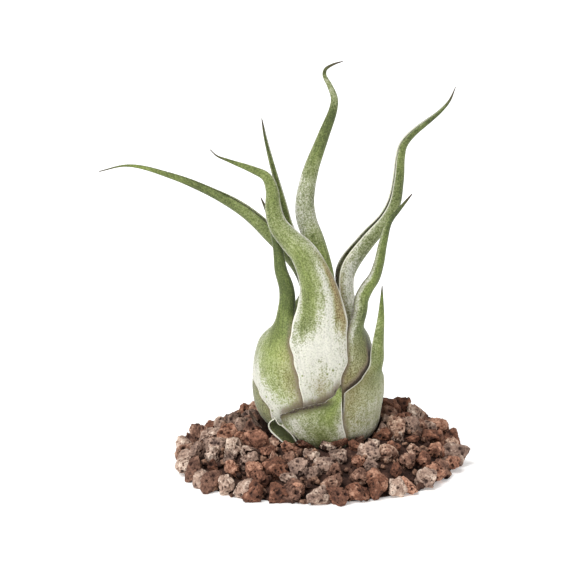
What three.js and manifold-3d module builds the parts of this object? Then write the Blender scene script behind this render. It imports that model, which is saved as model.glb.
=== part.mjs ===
// An air plant of the medusa's head kind, standing in a low heap of lava gravel.
//
// Millimetres, +Z up, +X to the viewer's right, -Y towards the viewer. The origin is the middle of
// the heap's flat underside. The leaves' broad sheaths nest round a short stem and make a hollow
// bulb, and each leaf leaves the bulb at a narrow neck as a blade rolled into a channel.

import * as THREE from 'three';
import Module from 'manifold-3d';
import { mergeVertices } from 'three/addons/utils/BufferGeometryUtils.js';

const wasm = await Module();
wasm.setup();

// ---------------------------------------------------------------- driving dimensions

// Outline of the bulb, over the outermost sheath: [radius, height], from the foot to the necks.
const BULB_OUTLINE = [
  [12.5, 7], [19.5, 10.5], [24.5, 15.5], [27.6, 22], [29.3, 30], [29.2, 38],
  [27.4, 47], [24.6, 56], [21, 65], [17.5, 74], [14.8, 83], [13, 92],
];
const BULB_LEAN = -2.4; // the belly stands this far off the stem's axis, along X
const LEAN_START = [12, 26]; // heights between which the lean comes in
const LEAN_END = [50, 70]; // and those between which it goes out again

const LEAF_WALL = 0.7; // thickness of a leaf
const GAP = 0.4; // clear space between neighbours
const LAYER_PITCH = LEAF_WALL + GAP; // each layer of sheaths lies this much deeper
const TIP_RADIUS = 0.4;
const INNER_ROLL = 0.2; // the rolled blade's inside is never less than this share of its radius
const ROLLED = [95, 140]; // half angle of a blade's channel where it starts and farther on, in degrees
const OPEN = [88, 104]; // the same on the front leaf, whose margins show
const HALF_OPEN = [75, 112]; // on a low leaf, which stays flatter
const FLAT = [52, 80]; // and on the shortest ones, which lie against the bulb
const CURL_LENGTH = 0.35; // share of the blade over which it rolls up
const SECTION_STEPS = 6; // flats across a leaf
const ROW_SPACING = 6; // distance between cross sections along a leaf

const STEM_SIDES = 32;
const STEM_CROWN = 2.5; // height of the growing point above the highest sheath

const HEAP_RADIUS = 55.2; // centres of the outermost stones
const HEAP_SKEW = 0.035; // the heap is this share wider from front left to back right, and narrower across
const HEAP_DEPTH = 0.96; // share of that radius along Y
const HEAP_HEIGHT = 17.5; // height that the slopes run up to
const HEAP_TILT = [0.03, 0.4]; // the heap is this share higher at its right and at its back edge
const HEAP_REACH = 60.5; // radius where the slope would meet the floor
const HEAP_SLOPE = 3.2; // power of the slope: flat inside, steep at the rim
const CORE_RADIUS = 54.4; // of the packed middle of the heap
const CORE_SINK = [0.4, 4]; // how far the core lies under the stones' centres, inside and at the rim
const CORE_EDGE = 0.8; // thickness of the grit under the outermost stones
const CORE_SIDES = 32;
const CORE_RINGS = 8;
const RIM_STONES = 44; // stones in the outermost ring
const INNER_STONES = 116; // and those inside it, in a sunflower's spiral
const SPIRAL_RADII = [21, 51]; // innermost and outermost centres of the spiral
const STONE_HALF = [3.3, 6.3]; // half lengths of the smallest and the largest stone
const RIM_STONE_HALF = [4, 5.6]; // and of those at the rim
const STONE_FLATNESS = [0.62, 0.95]; // its other two half lengths, as shares of the first
const STONE_SCATTER = 3; // how far a stone lies off its even place
const STONE_ROUGHNESS = 0.2; // how far its corners move in or out, as a share
const GOLDEN_ANGLE = Math.PI * (3 - Math.sqrt(5));
const PLACE_SEED = 2026;
const SHAPE_SEED = 77;
const SEAT_BOTTOM = 5.2; // height of the hollow's floor under the stem

// ---------------------------------------------------------------- the leaves
//
// layer: how deep the sheath is nested, 0 outside. azimuth: where the blade faces, in degrees from
// +X, counted to the left seen from above. margins: [height, azimuth of one margin, of the other].
// release: height on the bulb where the blade starts. blend: length over which sheath turns blade.
// path: the middle of the rolled blade. radius: of its roll, held for the share hold of its length
// and then narrowed by the power taper.
const LEAVES = [
  {
    name: 'leaf_front_low', layer: 0, azimuth: -74, curl: FLAT, spacing: 2, colour: '#7d8b50',
    margins: [
      [7, -102, -60], [17, -109, -65], [24, -118, -67], [27, -119, -68], [30.5, -107, -68.6],
      [32.4, -94, -69], [33.6, -82.5, -69], [36.8, -73.8, -69], [40, -71, -69.2],
    ],
    release: 36.5, blend: 3, radius: 1.3, hold: 0, taper: 0.8,
    path: [[7.2, -26.7, 38.4], [7.7, -26.8, 40.4]],
  },
  {
    name: 'leaf_right_low', layer: 1, azimuth: -20, curl: HALF_OPEN, colour: '#7f8c52',
    margins: [[7, -66, 20], [22, -67, 22], [36, -66, 18], [41, -52, 8], [46, -37, -4], [52, -33, -8]],
    release: 36, blend: 12, radius: 4.4, hold: 0.05, taper: 0.9,
    path: [[21.4, -8.4, 43], [22.4, -7.2, 52], [23.6, -6.4, 61], [24.1, -6, 68.5], [24.4, -6, 75.4]],
  },
  {
    name: 'leaf_back_left_low', layer: 1, azimuth: 104, curl: FLAT, colour: '#7f8c52',
    margins: [[7, 58, 140], [25, 60, 142], [34, 72, 136], [40, 84, 124], [46, 96, 112]],
    release: 33, blend: 12, radius: 4, hold: 0.05, taper: 0.9,
    path: [[-8.8, 25.4, 41], [-10.5, 27, 48], [-10.5, 28.5, 56]],
  },
  {
    name: 'leaf_front', layer: 2, azimuth: -92, curl: OPEN, colour: '#a8ae88',
    margins: [
      [9, -104, -72], [33, -100, -70], [42, -104, -67], [50, -110, -58], [58, -119, -57], [66, -126, -51],
      [76, -128, -44], [86, -130, -60],
    ],
    release: 56, blend: 30, radius: 9.2, hold: 0.02, taper: 1.2,
    path: [
      [-0.6, -14.2, 68], [-1.4, -13, 76], [-3.4, -12, 83], [-7.1, -11.5, 90], [-12, -11, 95],
      [-16.6, -10.5, 100.4], [-18.8, -10, 107], [-19.4, -10, 115], [-21.6, -10, 120.2],
      [-26.4, -10, 122.8], [-36.5, -10, 126.6], [-40.8, -10, 128.4], [-43.5, -10, 131],
    ],
  },
  {
    name: 'leaf_back_right_low', layer: 2, azimuth: 50, curl: FLAT, colour: '#7f8c52',
    margins: [[9, -2, 100], [25, 0, 98], [34, 12, 88], [40, 28, 72], [46, 42, 58]],
    release: 33, blend: 11, radius: 3.8, hold: 0.05, taper: 0.9,
    path: [[13.4, 19, 41], [14.4, 20.4, 46], [14, 21.6, 52]],
  },
  {
    name: 'leaf_left', layer: 3, azimuth: -140, spacing: 3.5, colour: '#939b6c',
    margins: [
      [9, -136, -94], [27, -134, -92], [34, -148, -92], [40, -167, -94], [48, -179, -98], [58, -176, -108],
      [68, -164, -120],
    ],
    release: 53, blend: 17, radius: 4.3, hold: 0.02, taper: 0.8,
    path: [
      [-14.4, -9, 63], [-13.3, -8, 69], [-13.7, -7.8, 75], [-15.8, -7, 82], [-17, -5, 90],
      [-18.6, -3, 96.6], [-20.7, -2, 103.3], [-23.8, -2, 110.4],
    ],
  },
  {
    name: 'leaf_right_short', layer: 3, azimuth: -9, colour: '#919e74',
    margins: [[9, -64, -4], [30, -68, 8], [46, -70, 10], [56, -66, 2], [66, -60, -14], [74, -56, -22]],
    release: 53, blend: 17, radius: 3.7, hold: 0.15, taper: 0.8,
    path: [
      [15.2, -9.4, 63], [15.7, -8.7, 70], [18, -8, 75], [20.9, -7, 79], [22.8, -6, 84.5],
      [24.6, -4.6, 93], [27, -3.2, 100.6], [30.4, -3, 105], [36, -3, 112],
    ],
  },
  {
    name: 'leaf_far_left', layer: 4, azimuth: 172, colour: '#707b44',
    margins: [[10, 108, 232], [30, 110, 236], [44, 122, 224], [56, 140, 204], [66, 150, 196]],
    release: 44, blend: 22, radius: 3.4, hold: 0.45, taper: 1.1,
    path: [
      [-9.2, 3.4, 62], [-4.9, 2.4, 71], [-7.5, 3, 80], [-17, 6, 91], [-30, 10, 102.4],
      [-44.3, 12, 110.2], [-60, 13, 116.4], [-77, 12, 120.7], [-88.6, 10, 118.6],
    ],
  },
  {
    name: 'leaf_right_long', layer: 4, azimuth: 15, colour: '#7c8557',
    margins: [[10, -46, 92], [30, -46, 90], [44, -48, 76], [56, -56, 58], [66, -66, 48], [78, -68, 42]],
    release: 48, blend: 34, radius: 4.3, hold: 0.3, taper: 0.9,
    path: [
      [11.2, 4.4, 62], [9.3, 4.8, 71], [10.2, 6, 79.5], [18.2, 8.5, 90.5], [26.2, 10, 99.6],
      [29.4, 10.6, 106], [31, 11, 115], [31.7, 11, 124], [33, 11, 129.2], [36.8, 11, 134],
      [47.4, 11, 142.6], [51.2, 11, 147], [53.6, 11, 152.6],
    ],
  },
  {
    name: 'leaf_tall', layer: 6, azimuth: -60, spacing: 4.5, colour: '#879362',
    margins: [[12, -108, -12], [30, -106, -14], [44, -96, -24], [56, -84, -36], [66, -80, -40]],
    release: 40, blend: 24, radius: 4.1, hold: 0.5, taper: 0.9,
    path: [
      [4, -7.2, 58], [2.4, -2.6, 67], [1.8, 1, 75], [0.2, 3, 83], [-2.6, 4, 92], [-5.6, 5, 100],
      [-6.3, 5, 107], [-3.9, 5, 120], [0.9, 5, 133.4], [4.9, 5, 144.6], [5.3, 5, 149], [3.4, 5, 154],
      [1.3, 5.1, 158], [1.7, 5.3, 160.4], [4.6, 5.8, 162.2], [8.7, 6.5, 163.4],
    ],
  },
  {
    name: 'leaf_back_thin', layer: 6, azimuth: 120, curl: FLAT, colour: '#717b4e',
    margins: [[13, 62, 178], [30, 66, 174], [44, 84, 156], [56, 98, 142], [66, 104, 136]],
    release: 40, blend: 24, radius: 2.8, hold: 0.3, taper: 0.7,
    path: [
      [-7.2, 10.2, 60], [-4.6, 9, 70], [-6, 9.4, 80.5], [-9.2, 11.2, 89], [-12.6, 13, 96.5],
      [-14.6, 14, 104], [-19.2, 15, 120.3], [-21.9, 15, 131], [-23.5, 15, 139.3],
    ],
  },
];

// A small leaf bent back on the bulb's foot, so that its inner side faces out.
const SMALL_LEAF = {
  name: 'leaf_small_front', colour: '#5c693f', radius: 3.4, curl: 80, facing: [0.57, 0.82, -0.1], rows: 7,
  path: [[-10.4, -22.6, 13.6], [-14.6, -23.4, 18], [-18.4, -23.2, 22], [-18, -24.6, 26.4]],
  widths: [0.7, 1, 1, 0.35],
};

const STEM_COLOUR = '#8a8462';
const GRAVEL_COLOUR = '#6f4b3c';
const LEAF_ROUGHNESS = 0.75;
const GRAVEL_ROUGHNESS = 0.95;

// ---------------------------------------------------------------- shared helpers

const degrees = THREE.MathUtils.degToRad;
const { clamp, lerp, smoothstep } = THREE.MathUtils;

function material(colour, roughness) {
  return new THREE.MeshStandardMaterial({ color: colour, roughness, metalness: 0 });
}

// A seeded row of even draws from 0 to 1.
function randomDraws(seed) {
  let state = seed;
  return () => {
    state = (Math.imul(state, 1664525) + 1013904223) >>> 0;
    return state / 2 ** 32;
  };
}

// The value at x along rows that start with their own x.
function between(rows, x, column) {
  const last = rows.length - 1;
  if (x <= rows[0][0]) return rows[0][column];
  for (let i = 0; i < last; i += 1) {
    const [low, high] = [rows[i], rows[i + 1]];
    if (x <= high[0]) return lerp(low[column], high[column], smoothstep(x, low[0], high[0]));
  }
  return rows[last][column];
}

// A closed body through rings of equally many points, its two ends closed by strips.
function skin(rings) {
  const count = rings[0].length;
  const faces = [];
  for (let i = 0; i < rings.length - 1; i += 1) {
    for (let j = 0; j < count; j += 1) {
      const a = i * count + j;
      const b = i * count + ((j + 1) % count);
      faces.push(a, b, b + count, a, b + count, a + count);
    }
  }
  const start = (rings.length - 1) * count;
  for (let j = 0; j < count / 2 - 1; j += 1) {
    const k = count - 1 - j;
    faces.push(j, k, j + 1, k, k - 1, j + 1);
    faces.push(start + j, start + j + 1, start + k, start + k, start + j + 1, start + k - 1);
  }
  const geometry = new THREE.BufferGeometry();
  const flat = rings.flat().flatMap((p) => p.toArray());
  geometry.setAttribute('position', new THREE.Float32BufferAttribute(flat, 3));
  geometry.setIndex(faces);
  return facingOut(geometry);
}

// Turns the faces round when the body is inside out.
function facingOut(geometry) {
  const position = geometry.getAttribute('position');
  const index = geometry.getIndex();
  const [a, b, c] = [new THREE.Vector3(), new THREE.Vector3(), new THREE.Vector3()];
  let volume = 0;
  for (let i = 0; i < index.count; i += 3) {
    a.fromBufferAttribute(position, index.getX(i));
    b.fromBufferAttribute(position, index.getX(i + 1));
    c.fromBufferAttribute(position, index.getX(i + 2));
    volume += a.dot(b.cross(c));
  }
  if (volume < 0) index.array.reverse();
  geometry.computeVertexNormals();
  return geometry;
}

function toSolid(geometry) {
  const bare = geometry.clone();
  bare.deleteAttribute('normal');
  bare.deleteAttribute('uv');
  const merged = mergeVertices(bare, 1e-4);
  return new wasm.Manifold(new wasm.Mesh({
    numProp: 3,
    vertProperties: new Float32Array(merged.getAttribute('position').array),
    triVerts: new Uint32Array(merged.getIndex().array),
  }));
}

function toGeometry(solid) {
  const { vertProperties, triVerts } = solid.getMesh();
  const geometry = new THREE.BufferGeometry();
  geometry.setAttribute('position', new THREE.BufferAttribute(vertProperties, 3));
  geometry.setIndex(new THREE.BufferAttribute(triVerts, 1));
  geometry.computeVertexNormals();
  return geometry;
}

// ---------------------------------------------------------------- the bulb's surface

const outline = new THREE.SplineCurve(BULB_OUTLINE.map(([r, z]) => new THREE.Vector2(r, z)));
const outlineLength = outline.getLength();

function leanAt(height) {
  return BULB_LEAN * smoothstep(height, ...LEAN_START) * (1 - smoothstep(height, ...LEAN_END));
}

// The outline's point a distance up from its foot, moved inwards by a depth.
function outlinePoint(distance, depth) {
  const share = clamp(distance / outlineLength, 0, 1);
  const point = outline.getPointAt(share);
  const tangent = outline.getTangentAt(share);
  return new THREE.Vector2(point.x - tangent.y * depth, point.y + tangent.x * depth);
}

function bulbPoint(distance, azimuth, depth) {
  const { x: radius, y: height } = outlinePoint(distance, depth);
  const angle = degrees(azimuth);
  return new THREE.Vector3(leanAt(height) + radius * Math.cos(angle), radius * Math.sin(angle), height);
}

// How far up the outline a height lies.
function distanceAtHeight(height) {
  let [low, high] = [0, outlineLength];
  for (let i = 0; i < 30; i += 1) {
    const middle = (low + high) / 2;
    if (outlinePoint(middle, 0).y < height) low = middle;
    else high = middle;
  }
  return low;
}

// ---------------------------------------------------------------- leaves

// The middle line of a blade with the direction that its outer side faces at each place.
function bladeFrames(points, facing, count) {
  const curve = new THREE.CatmullRomCurve3(points);
  const length = curve.getLength();
  const frames = [];
  const outward = facing.clone();
  for (let i = 0; i <= count; i += 1) {
    const tangent = curve.getTangentAt(i / count);
    outward.addScaledVector(tangent, -outward.dot(tangent)).normalize();
    frames.push({
      centre: curve.getPointAt(i / count),
      tangent,
      outward: outward.clone(),
      side: new THREE.Vector3().crossVectors(outward, tangent).negate(),
      share: i / count,
    });
  }
  return { frames, length };
}

// A place on the rolled blade: across runs from -1 to 1 between the margins.
function channelPoint(frame, radius, halfAngle, across) {
  const angle = degrees(halfAngle) * across;
  return frame.centre.clone()
    .addScaledVector(frame.outward, radius * Math.cos(angle))
    .addScaledVector(frame.side, radius * Math.sin(angle));
}

// One closed cross section: the outer side from margin to margin and the inner side back.
function sectionRing(pointAt) {
  const ring = [];
  for (let j = 0; j <= SECTION_STEPS; j += 1) ring.push(pointAt((2 * j) / SECTION_STEPS - 1, false));
  for (let j = SECTION_STEPS; j >= 0; j -= 1) ring.push(pointAt((2 * j) / SECTION_STEPS - 1, true));
  return ring;
}

function leafGeometry(leaf) {
  const depth = leaf.layer * LAYER_PITCH;
  const releaseAt = distanceAtHeight(leaf.release);
  const middle = (height) => (between(leaf.margins, height, 1) + between(leaf.margins, height, 2)) / 2;
  const facing = new THREE.Vector3(Math.cos(degrees(leaf.azimuth)), Math.sin(degrees(leaf.azimuth)), 0);
  const start = bulbPoint(releaseAt, middle(leaf.release), depth).addScaledVector(facing, -leaf.radius);
  const points = [start, ...leaf.path.map((p) => new THREE.Vector3(...p))];
  const spacing = leaf.spacing ?? ROW_SPACING;
  const bladeRows = Math.ceil(new THREE.CatmullRomCurve3(points).getLength() / spacing);
  const { frames, length } = bladeFrames(points, facing, bladeRows);

  const sheathPoint = (distance, across, within) => {
    const height = outlinePoint(distance, 0).y;
    const azimuth = lerp(
      between(leaf.margins, height, 1), between(leaf.margins, height, 2), (across + 1) / 2,
    );
    return bulbPoint(distance, azimuth, within ? depth + LEAF_WALL : depth);
  };
  const bladePoint = (frame, across, within) => {
    const narrowing = Math.min(1, (1 - frame.share) / (1 - leaf.hold)) ** leaf.taper;
    const outer = TIP_RADIUS + (leaf.radius - TIP_RADIUS) * narrowing;
    const inner = Math.max(outer - LEAF_WALL, outer * INNER_ROLL);
    const curl = lerp(...(leaf.curl ?? ROLLED), smoothstep(frame.share, 0, CURL_LENGTH));
    return channelPoint(frame, within ? inner : outer, curl, across);
  };

  const rings = [];
  const sheathRows = Math.ceil(releaseAt / spacing);
  for (let i = 0; i < sheathRows; i += 1) {
    const distance = (releaseAt * i) / sheathRows;
    rings.push(sectionRing((across, within) => sheathPoint(distance, across, within)));
  }
  for (const frame of frames) {
    const travelled = frame.share * length;
    const turned = smoothstep(travelled, 0, leaf.blend);
    rings.push(sectionRing((across, within) => {
      const blade = bladePoint(frame, across, within);
      return sheathPoint(releaseAt + travelled, across, within).lerp(blade, turned);
    }));
  }
  return skin(rings);
}

// The bent small leaf, grown by a clearance on every side when it cuts its seat in the gravel.
function smallLeafGeometry(grown = 0) {
  const { path, facing, rows, widths, radius, curl } = SMALL_LEAF;
  const points = path.map((p) => new THREE.Vector3(...p));
  const { frames } = bladeFrames(points, new THREE.Vector3(...facing), rows);
  frames[0].centre.addScaledVector(frames[0].tangent, -grown);
  frames[rows].centre.addScaledVector(frames[rows].tangent, grown);
  const stations = widths.map((width, i) => [i / (widths.length - 1), width]);
  const rings = frames.map((frame) => {
    const outer = radius * between(stations, frame.share, 1);
    const inner = outer - LEAF_WALL;
    const opened = curl + THREE.MathUtils.radToDeg(grown / outer);
    return sectionRing((across, within) => (
      channelPoint(frame, within ? Math.max(inner - grown, 0.2) : outer + grown, opened, across)
    ));
  });
  return skin(rings);
}

// ---------------------------------------------------------------- the stem

// A short cone under the sheaths: its side runs square to them, a gap below each one's foot.
function stemGeometry() {
  const tangent = outline.getTangentAt(0);
  const sideAt = (depth) => outlinePoint(0, depth).addScaledVector(tangent, -GAP);
  const deepest = Math.max(...LEAVES.map((leaf) => leaf.layer)) * LAYER_PITCH + LEAF_WALL;
  const [rim, crown] = [sideAt(-GAP), sideAt(deepest)];
  const profile = [
    new THREE.Vector2(0, rim.y), rim, crown, new THREE.Vector2(0, crown.y + STEM_CROWN),
  ];
  return new THREE.LatheGeometry(profile, STEM_SIDES).rotateX(Math.PI / 2);
}

// ---------------------------------------------------------------- the gravel

// A place on the floor at a distance and a direction, in radians, from the heap's middle.
function heapPlace(distance, angle) {
  const [x, y] = [distance * Math.cos(angle), distance * Math.sin(angle)];
  return [x + HEAP_SKEW * y, HEAP_DEPTH * (y + HEAP_SKEW * x)];
}

// Height of the stones' centres on the heap.
function heapHeight(distance, x, y) {
  const slope = 1 - (distance / HEAP_REACH) ** HEAP_SLOPE;
  return HEAP_HEIGHT * slope * (1 + (HEAP_TILT[0] * x + HEAP_TILT[1] * y) / HEAP_REACH);
}

// Where each stone lies, how long it is on its three axes and how it is turned.
function stonePlaces() {
  const draw = randomDraws(PLACE_SEED);
  const places = [];
  for (let i = 0; i < RIM_STONES + INNER_STONES; i += 1) {
    const onRim = i < RIM_STONES;
    const share = (i - RIM_STONES + 0.5) / INNER_STONES;
    const even = onRim ? HEAP_RADIUS : Math.sqrt(lerp(SPIRAL_RADII[0] ** 2, SPIRAL_RADII[1] ** 2, share));
    const angle = i * (onRim ? (2 * Math.PI) / RIM_STONES : GOLDEN_ANGLE);
    const [evenX, evenY] = heapPlace(even, angle);
    const [x, y] = [evenX + STONE_SCATTER * (draw() - 0.5), evenY + STONE_SCATTER * (draw() - 0.5)];
    const half = onRim ? lerp(...RIM_STONE_HALF, draw()) : lerp(...STONE_HALF, draw() ** 2);
    const size = new THREE.Vector3(1, lerp(...STONE_FLATNESS, draw()), lerp(...STONE_FLATNESS, draw()));
    const turn = new THREE.Euler(2 * Math.PI * draw(), 2 * Math.PI * draw(), 2 * Math.PI * draw());
    const height = Math.max(heapHeight(even, x, y), half * STONE_FLATNESS[0]);
    places.push({ centre: new THREE.Vector3(x, y, height), size: size.multiplyScalar(half), turn });
  }
  return places;
}

function stoneGeometry({ centre, size, turn }, draw) {
  const ball = new THREE.IcosahedronGeometry(1, 0);
  ball.deleteAttribute('normal');
  ball.deleteAttribute('uv');
  const stone = mergeVertices(ball);
  const position = stone.getAttribute('position');
  for (let i = 0; i < position.count; i += 1) {
    const corner = new THREE.Vector3().fromBufferAttribute(position, i);
    corner.multiplyScalar(1 + STONE_ROUGHNESS * (2 * draw() - 1));
    corner.multiply(size).applyEuler(turn).add(centre);
    position.setXYZ(i, ...corner);
  }
  return stone;
}

// The packed middle of the heap, which every stone's root is sunk into.
function coreGeometry() {
  const ring = (radius, heightAt) => Array.from({ length: CORE_SIDES }, (_, j) => {
    const angle = (2 * Math.PI * j) / CORE_SIDES;
    const [x, y] = heapPlace(radius, angle);
    return new THREE.Vector3(x, y, heightAt(x, y));
  });
  const rings = [ring(CORE_RADIUS, () => -1)];
  for (let i = CORE_RINGS; i > 0; i -= 1) {
    const share = i / CORE_RINGS;
    const sink = lerp(...CORE_SINK, share ** 6);
    const radius = CORE_RADIUS * share;
    rings.push(ring(radius, (x, y) => Math.max(heapHeight(radius, x, y) - sink, CORE_EDGE)));
  }
  return skin(rings);
}

// The hollow that the bulb stands in, a gap wider than the bulb.
function seatGeometry() {
  const sides = 32;
  const ring = (pointAt) => Array.from({ length: sides }, (_, j) => pointAt((360 * j) / sides));
  const rings = [ring((azimuth) => bulbPoint(0, azimuth, -2 * GAP).setZ(SEAT_BOTTOM))];
  for (let distance = 0; distance <= 42; distance += 3) {
    rings.push(ring((azimuth) => bulbPoint(distance, azimuth, -GAP - 0.05)));
  }
  return skin(rings);
}

function gravelGeometry() {
  const draw = randomDraws(SHAPE_SEED);
  const stones = stonePlaces().map((place) => toSolid(stoneGeometry(place, draw)));
  const floorBlock = new THREE.BoxGeometry(200, 200, 20).translate(0, 0, -10);
  const heap = wasm.Manifold.union([toSolid(coreGeometry()), ...stones])
    .subtract(toSolid(floorBlock))
    .subtract(toSolid(seatGeometry()))
    .subtract(toSolid(smallLeafGeometry(GAP)));
  const pieces = heap.decompose().sort((a, b) => b.volume() - a.volume());
  return toGeometry(pieces[0]);
}

// ---------------------------------------------------------------- the plant

function named(name, geometry, colour, roughness) {
  const mesh = new THREE.Mesh(geometry, material(colour, roughness));
  mesh.name = name;
  return mesh;
}

const plant = new THREE.Group();
for (const leaf of LEAVES) {
  plant.add(named(leaf.name, leafGeometry(leaf), leaf.colour, LEAF_ROUGHNESS));
}
plant.add(named(SMALL_LEAF.name, smallLeafGeometry(), SMALL_LEAF.colour, LEAF_ROUGHNESS));
plant.add(named('stem', stemGeometry(), STEM_COLOUR, LEAF_ROUGHNESS));

const holder = new THREE.Group();
holder.add(named('gravel', gravelGeometry(), GRAVEL_COLOUR, GRAVEL_ROUGHNESS));

const airPlant = new THREE.Group();
airPlant.add(plant, holder);

export default airPlant;
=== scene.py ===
# %% [markdown]
# # An air plant standing in a heap of lava gravel
#
# The plant is a grown thing: a dozen leaves, nearly all with a broad sheath at the foot and a blade
# that rolls itself into a narrow channel. The sheaths nest round a short stem and make a hollow bulb.
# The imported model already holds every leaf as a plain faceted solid, so this script makes a finer
# leaf of the same form for each of them, gives it its skin of silvery scales, and heaps up the
# gravel again with stones that have pores. Lengths are in millimetres until a point goes into a
# mesh, because that is how such a plant is measured. Only the scales of patterns in materials are
# worked out in metres, as the meshes are.

# %% The fixed frame
import math
import random

import bmesh
import bpy
from mathutils import Euler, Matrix, Vector, kdtree, noise


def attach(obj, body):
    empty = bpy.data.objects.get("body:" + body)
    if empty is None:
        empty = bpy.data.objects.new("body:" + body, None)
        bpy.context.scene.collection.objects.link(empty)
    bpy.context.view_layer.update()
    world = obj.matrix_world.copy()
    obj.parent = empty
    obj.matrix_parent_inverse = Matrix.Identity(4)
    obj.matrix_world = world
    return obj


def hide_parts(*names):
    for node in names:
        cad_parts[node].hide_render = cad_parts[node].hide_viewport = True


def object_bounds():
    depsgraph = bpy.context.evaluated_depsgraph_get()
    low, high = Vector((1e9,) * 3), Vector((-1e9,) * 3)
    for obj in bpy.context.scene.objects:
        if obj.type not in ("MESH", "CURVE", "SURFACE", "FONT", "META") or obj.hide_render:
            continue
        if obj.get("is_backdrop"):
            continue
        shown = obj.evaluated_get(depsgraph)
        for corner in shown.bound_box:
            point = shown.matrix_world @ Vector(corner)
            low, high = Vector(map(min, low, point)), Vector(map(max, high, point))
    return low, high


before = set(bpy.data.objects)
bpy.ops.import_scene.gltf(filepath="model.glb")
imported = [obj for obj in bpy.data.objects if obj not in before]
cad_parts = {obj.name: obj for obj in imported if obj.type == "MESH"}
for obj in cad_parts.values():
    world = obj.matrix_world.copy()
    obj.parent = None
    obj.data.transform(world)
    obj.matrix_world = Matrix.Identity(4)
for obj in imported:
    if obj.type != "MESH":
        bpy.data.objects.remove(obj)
cad_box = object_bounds()
MM = 0.001
print("nodes in the frame:", len(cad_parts))

# %% [markdown]
# ## The camera
#
# The photograph looks slightly down on the heap, whose round outline shows as an ellipse. Its
# height against its width gives the pitch. A long lens keeps the proportions flat, as a product
# photograph does, so the camera stands a metre away and is aimed at the middle of the picture.

# %% Camera
PITCH = math.radians(13)
CAMERA_DISTANCE = 1000
AIM = Vector((-14.2, 0, 74.3))
MM_PER_PIXEL = 0.4
PICTURE_WIDTH = 570
SENSOR = 36

camera_data = bpy.data.cameras.new("camera")
camera_data.sensor_width = SENSOR
camera_data.lens = SENSOR * CAMERA_DISTANCE / (MM_PER_PIXEL * PICTURE_WIDTH)
camera = bpy.data.objects.new("camera", camera_data)
looking = Vector((0, math.cos(PITCH), -math.sin(PITCH)))
camera.location = (AIM - CAMERA_DISTANCE * looking) * MM
camera.rotation_euler = (math.pi / 2 - PITCH, 0, 0)
bpy.context.scene.collection.objects.link(camera)
bpy.context.scene.camera = camera
print("camera stands at", [round(x, 3) for x in camera.location])

# %% [markdown]
# ## Curves that know their length
#
# A leaf's middle line and the bulb's outline are smooth curves through a few measured points. A
# place on a leaf is named by its distance from the foot, so each curve is kept as a row of short
# steps that are measured once. A curve object of Blender's own would have to be made a mesh first
# to be measured like that.

# %% Between two values
def smooth_step(x, low, high):
    t = min(max((x - low) / (high - low), 0), 1)
    return t * t * (3 - 2 * t)


def mix(a, b, t):
    return a + (b - a) * t


def between(rows, x, column):
    """The value at x along rows that start with their own x."""
    if x <= rows[0][0]:
        return rows[0][column]
    for low, high in zip(rows, rows[1:]):
        if x <= high[0]:
            return mix(low[column], high[column], smooth_step(x, low[0], high[0]))
    return rows[-1][column]


print("half way from 2 to 4 lies", mix(2, 4, smooth_step(0.5, 0, 1)))


# %% Curves through points
SUBSTEPS = 60  # steps between two neighbouring points


def hermite(p1, p2, t1, t2, w):
    """The point at share w between two points with the directions that the curve has there."""
    return (
        (2 * w**3 - 3 * w**2 + 1) * p1
        + (-2 * w**3 + 3 * w**2) * p2
        + (w**3 - 2 * w**2 + w) * t1
        + (w**3 - w**2) * t2
    )


def even_curve(points):
    """Points along an evenly weighted spline, its ends held."""
    line = []
    last = len(points) - 1
    for i in range(last):
        before, after = points[max(i - 1, 0)], points[min(i + 2, last)]
        p1, p2 = points[i], points[i + 1]
        for k in range(SUBSTEPS):
            line.append(hermite(p1, p2, (p2 - before) / 2, (after - p1) / 2, k / SUBSTEPS))
    return line + [points[-1]]


def gentle_curve(points):
    """Points along a spline that doesn't overshoot where its points lie unevenly."""
    ends = [points[0] * 2 - points[1], *points, points[-1] * 2 - points[-2]]
    line = []
    for p0, p1, p2, p3 in zip(ends, ends[1:], ends[2:], ends[3:]):
        d0, d1, d2 = (math.sqrt((b - a).length) for a, b in ((p0, p1), (p1, p2), (p2, p3)))
        t1 = ((p1 - p0) / d0 - (p2 - p0) / (d0 + d1) + (p2 - p1) / d1) * d1
        t2 = ((p2 - p1) / d1 - (p3 - p1) / (d1 + d2) + (p3 - p2) / d2) * d1
        line += [hermite(p1, p2, t1, t2, k / SUBSTEPS) for k in range(SUBSTEPS)]
    return line + [points[-1]]


class Route:
    """A line that gives its point and its direction at a distance along it."""

    DIRECTION_STEP = 0.001  # a direction is measured over this share of the length to each side

    def __init__(self, line):
        self.line = line
        self.reach = [0]
        for a, b in zip(line, line[1:]):
            self.reach.append(self.reach[-1] + (b - a).length)
        self.length = self.reach[-1]

    def at(self, distance):
        distance = min(max(distance, 0), self.length)
        low, high = 0, len(self.line) - 1
        while high - low > 1:
            middle = (low + high) // 2
            low, high = (middle, high) if self.reach[middle] <= distance else (low, middle)
        share = (distance - self.reach[low]) / (self.reach[high] - self.reach[low])
        return self.line[low].lerp(self.line[high], share)

    def direction(self, distance):
        step = self.length * self.DIRECTION_STEP
        distance = min(max(distance, step), self.length - step)
        return (self.at(distance + step) - self.at(distance - step)).normalized()


print("a curve has", SUBSTEPS, "steps between two points")

# %% [markdown]
# ## The bulb's surface
#
# Every sheath lies on one round surface, each layer a little deeper than the one before. A smooth
# curve through a dozen radii gives the outline, and the belly leans a little to the left. Points
# on a leaf are found by how far up this outline they lie and in which direction from the stem, so
# neighbours can't cross.

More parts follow.
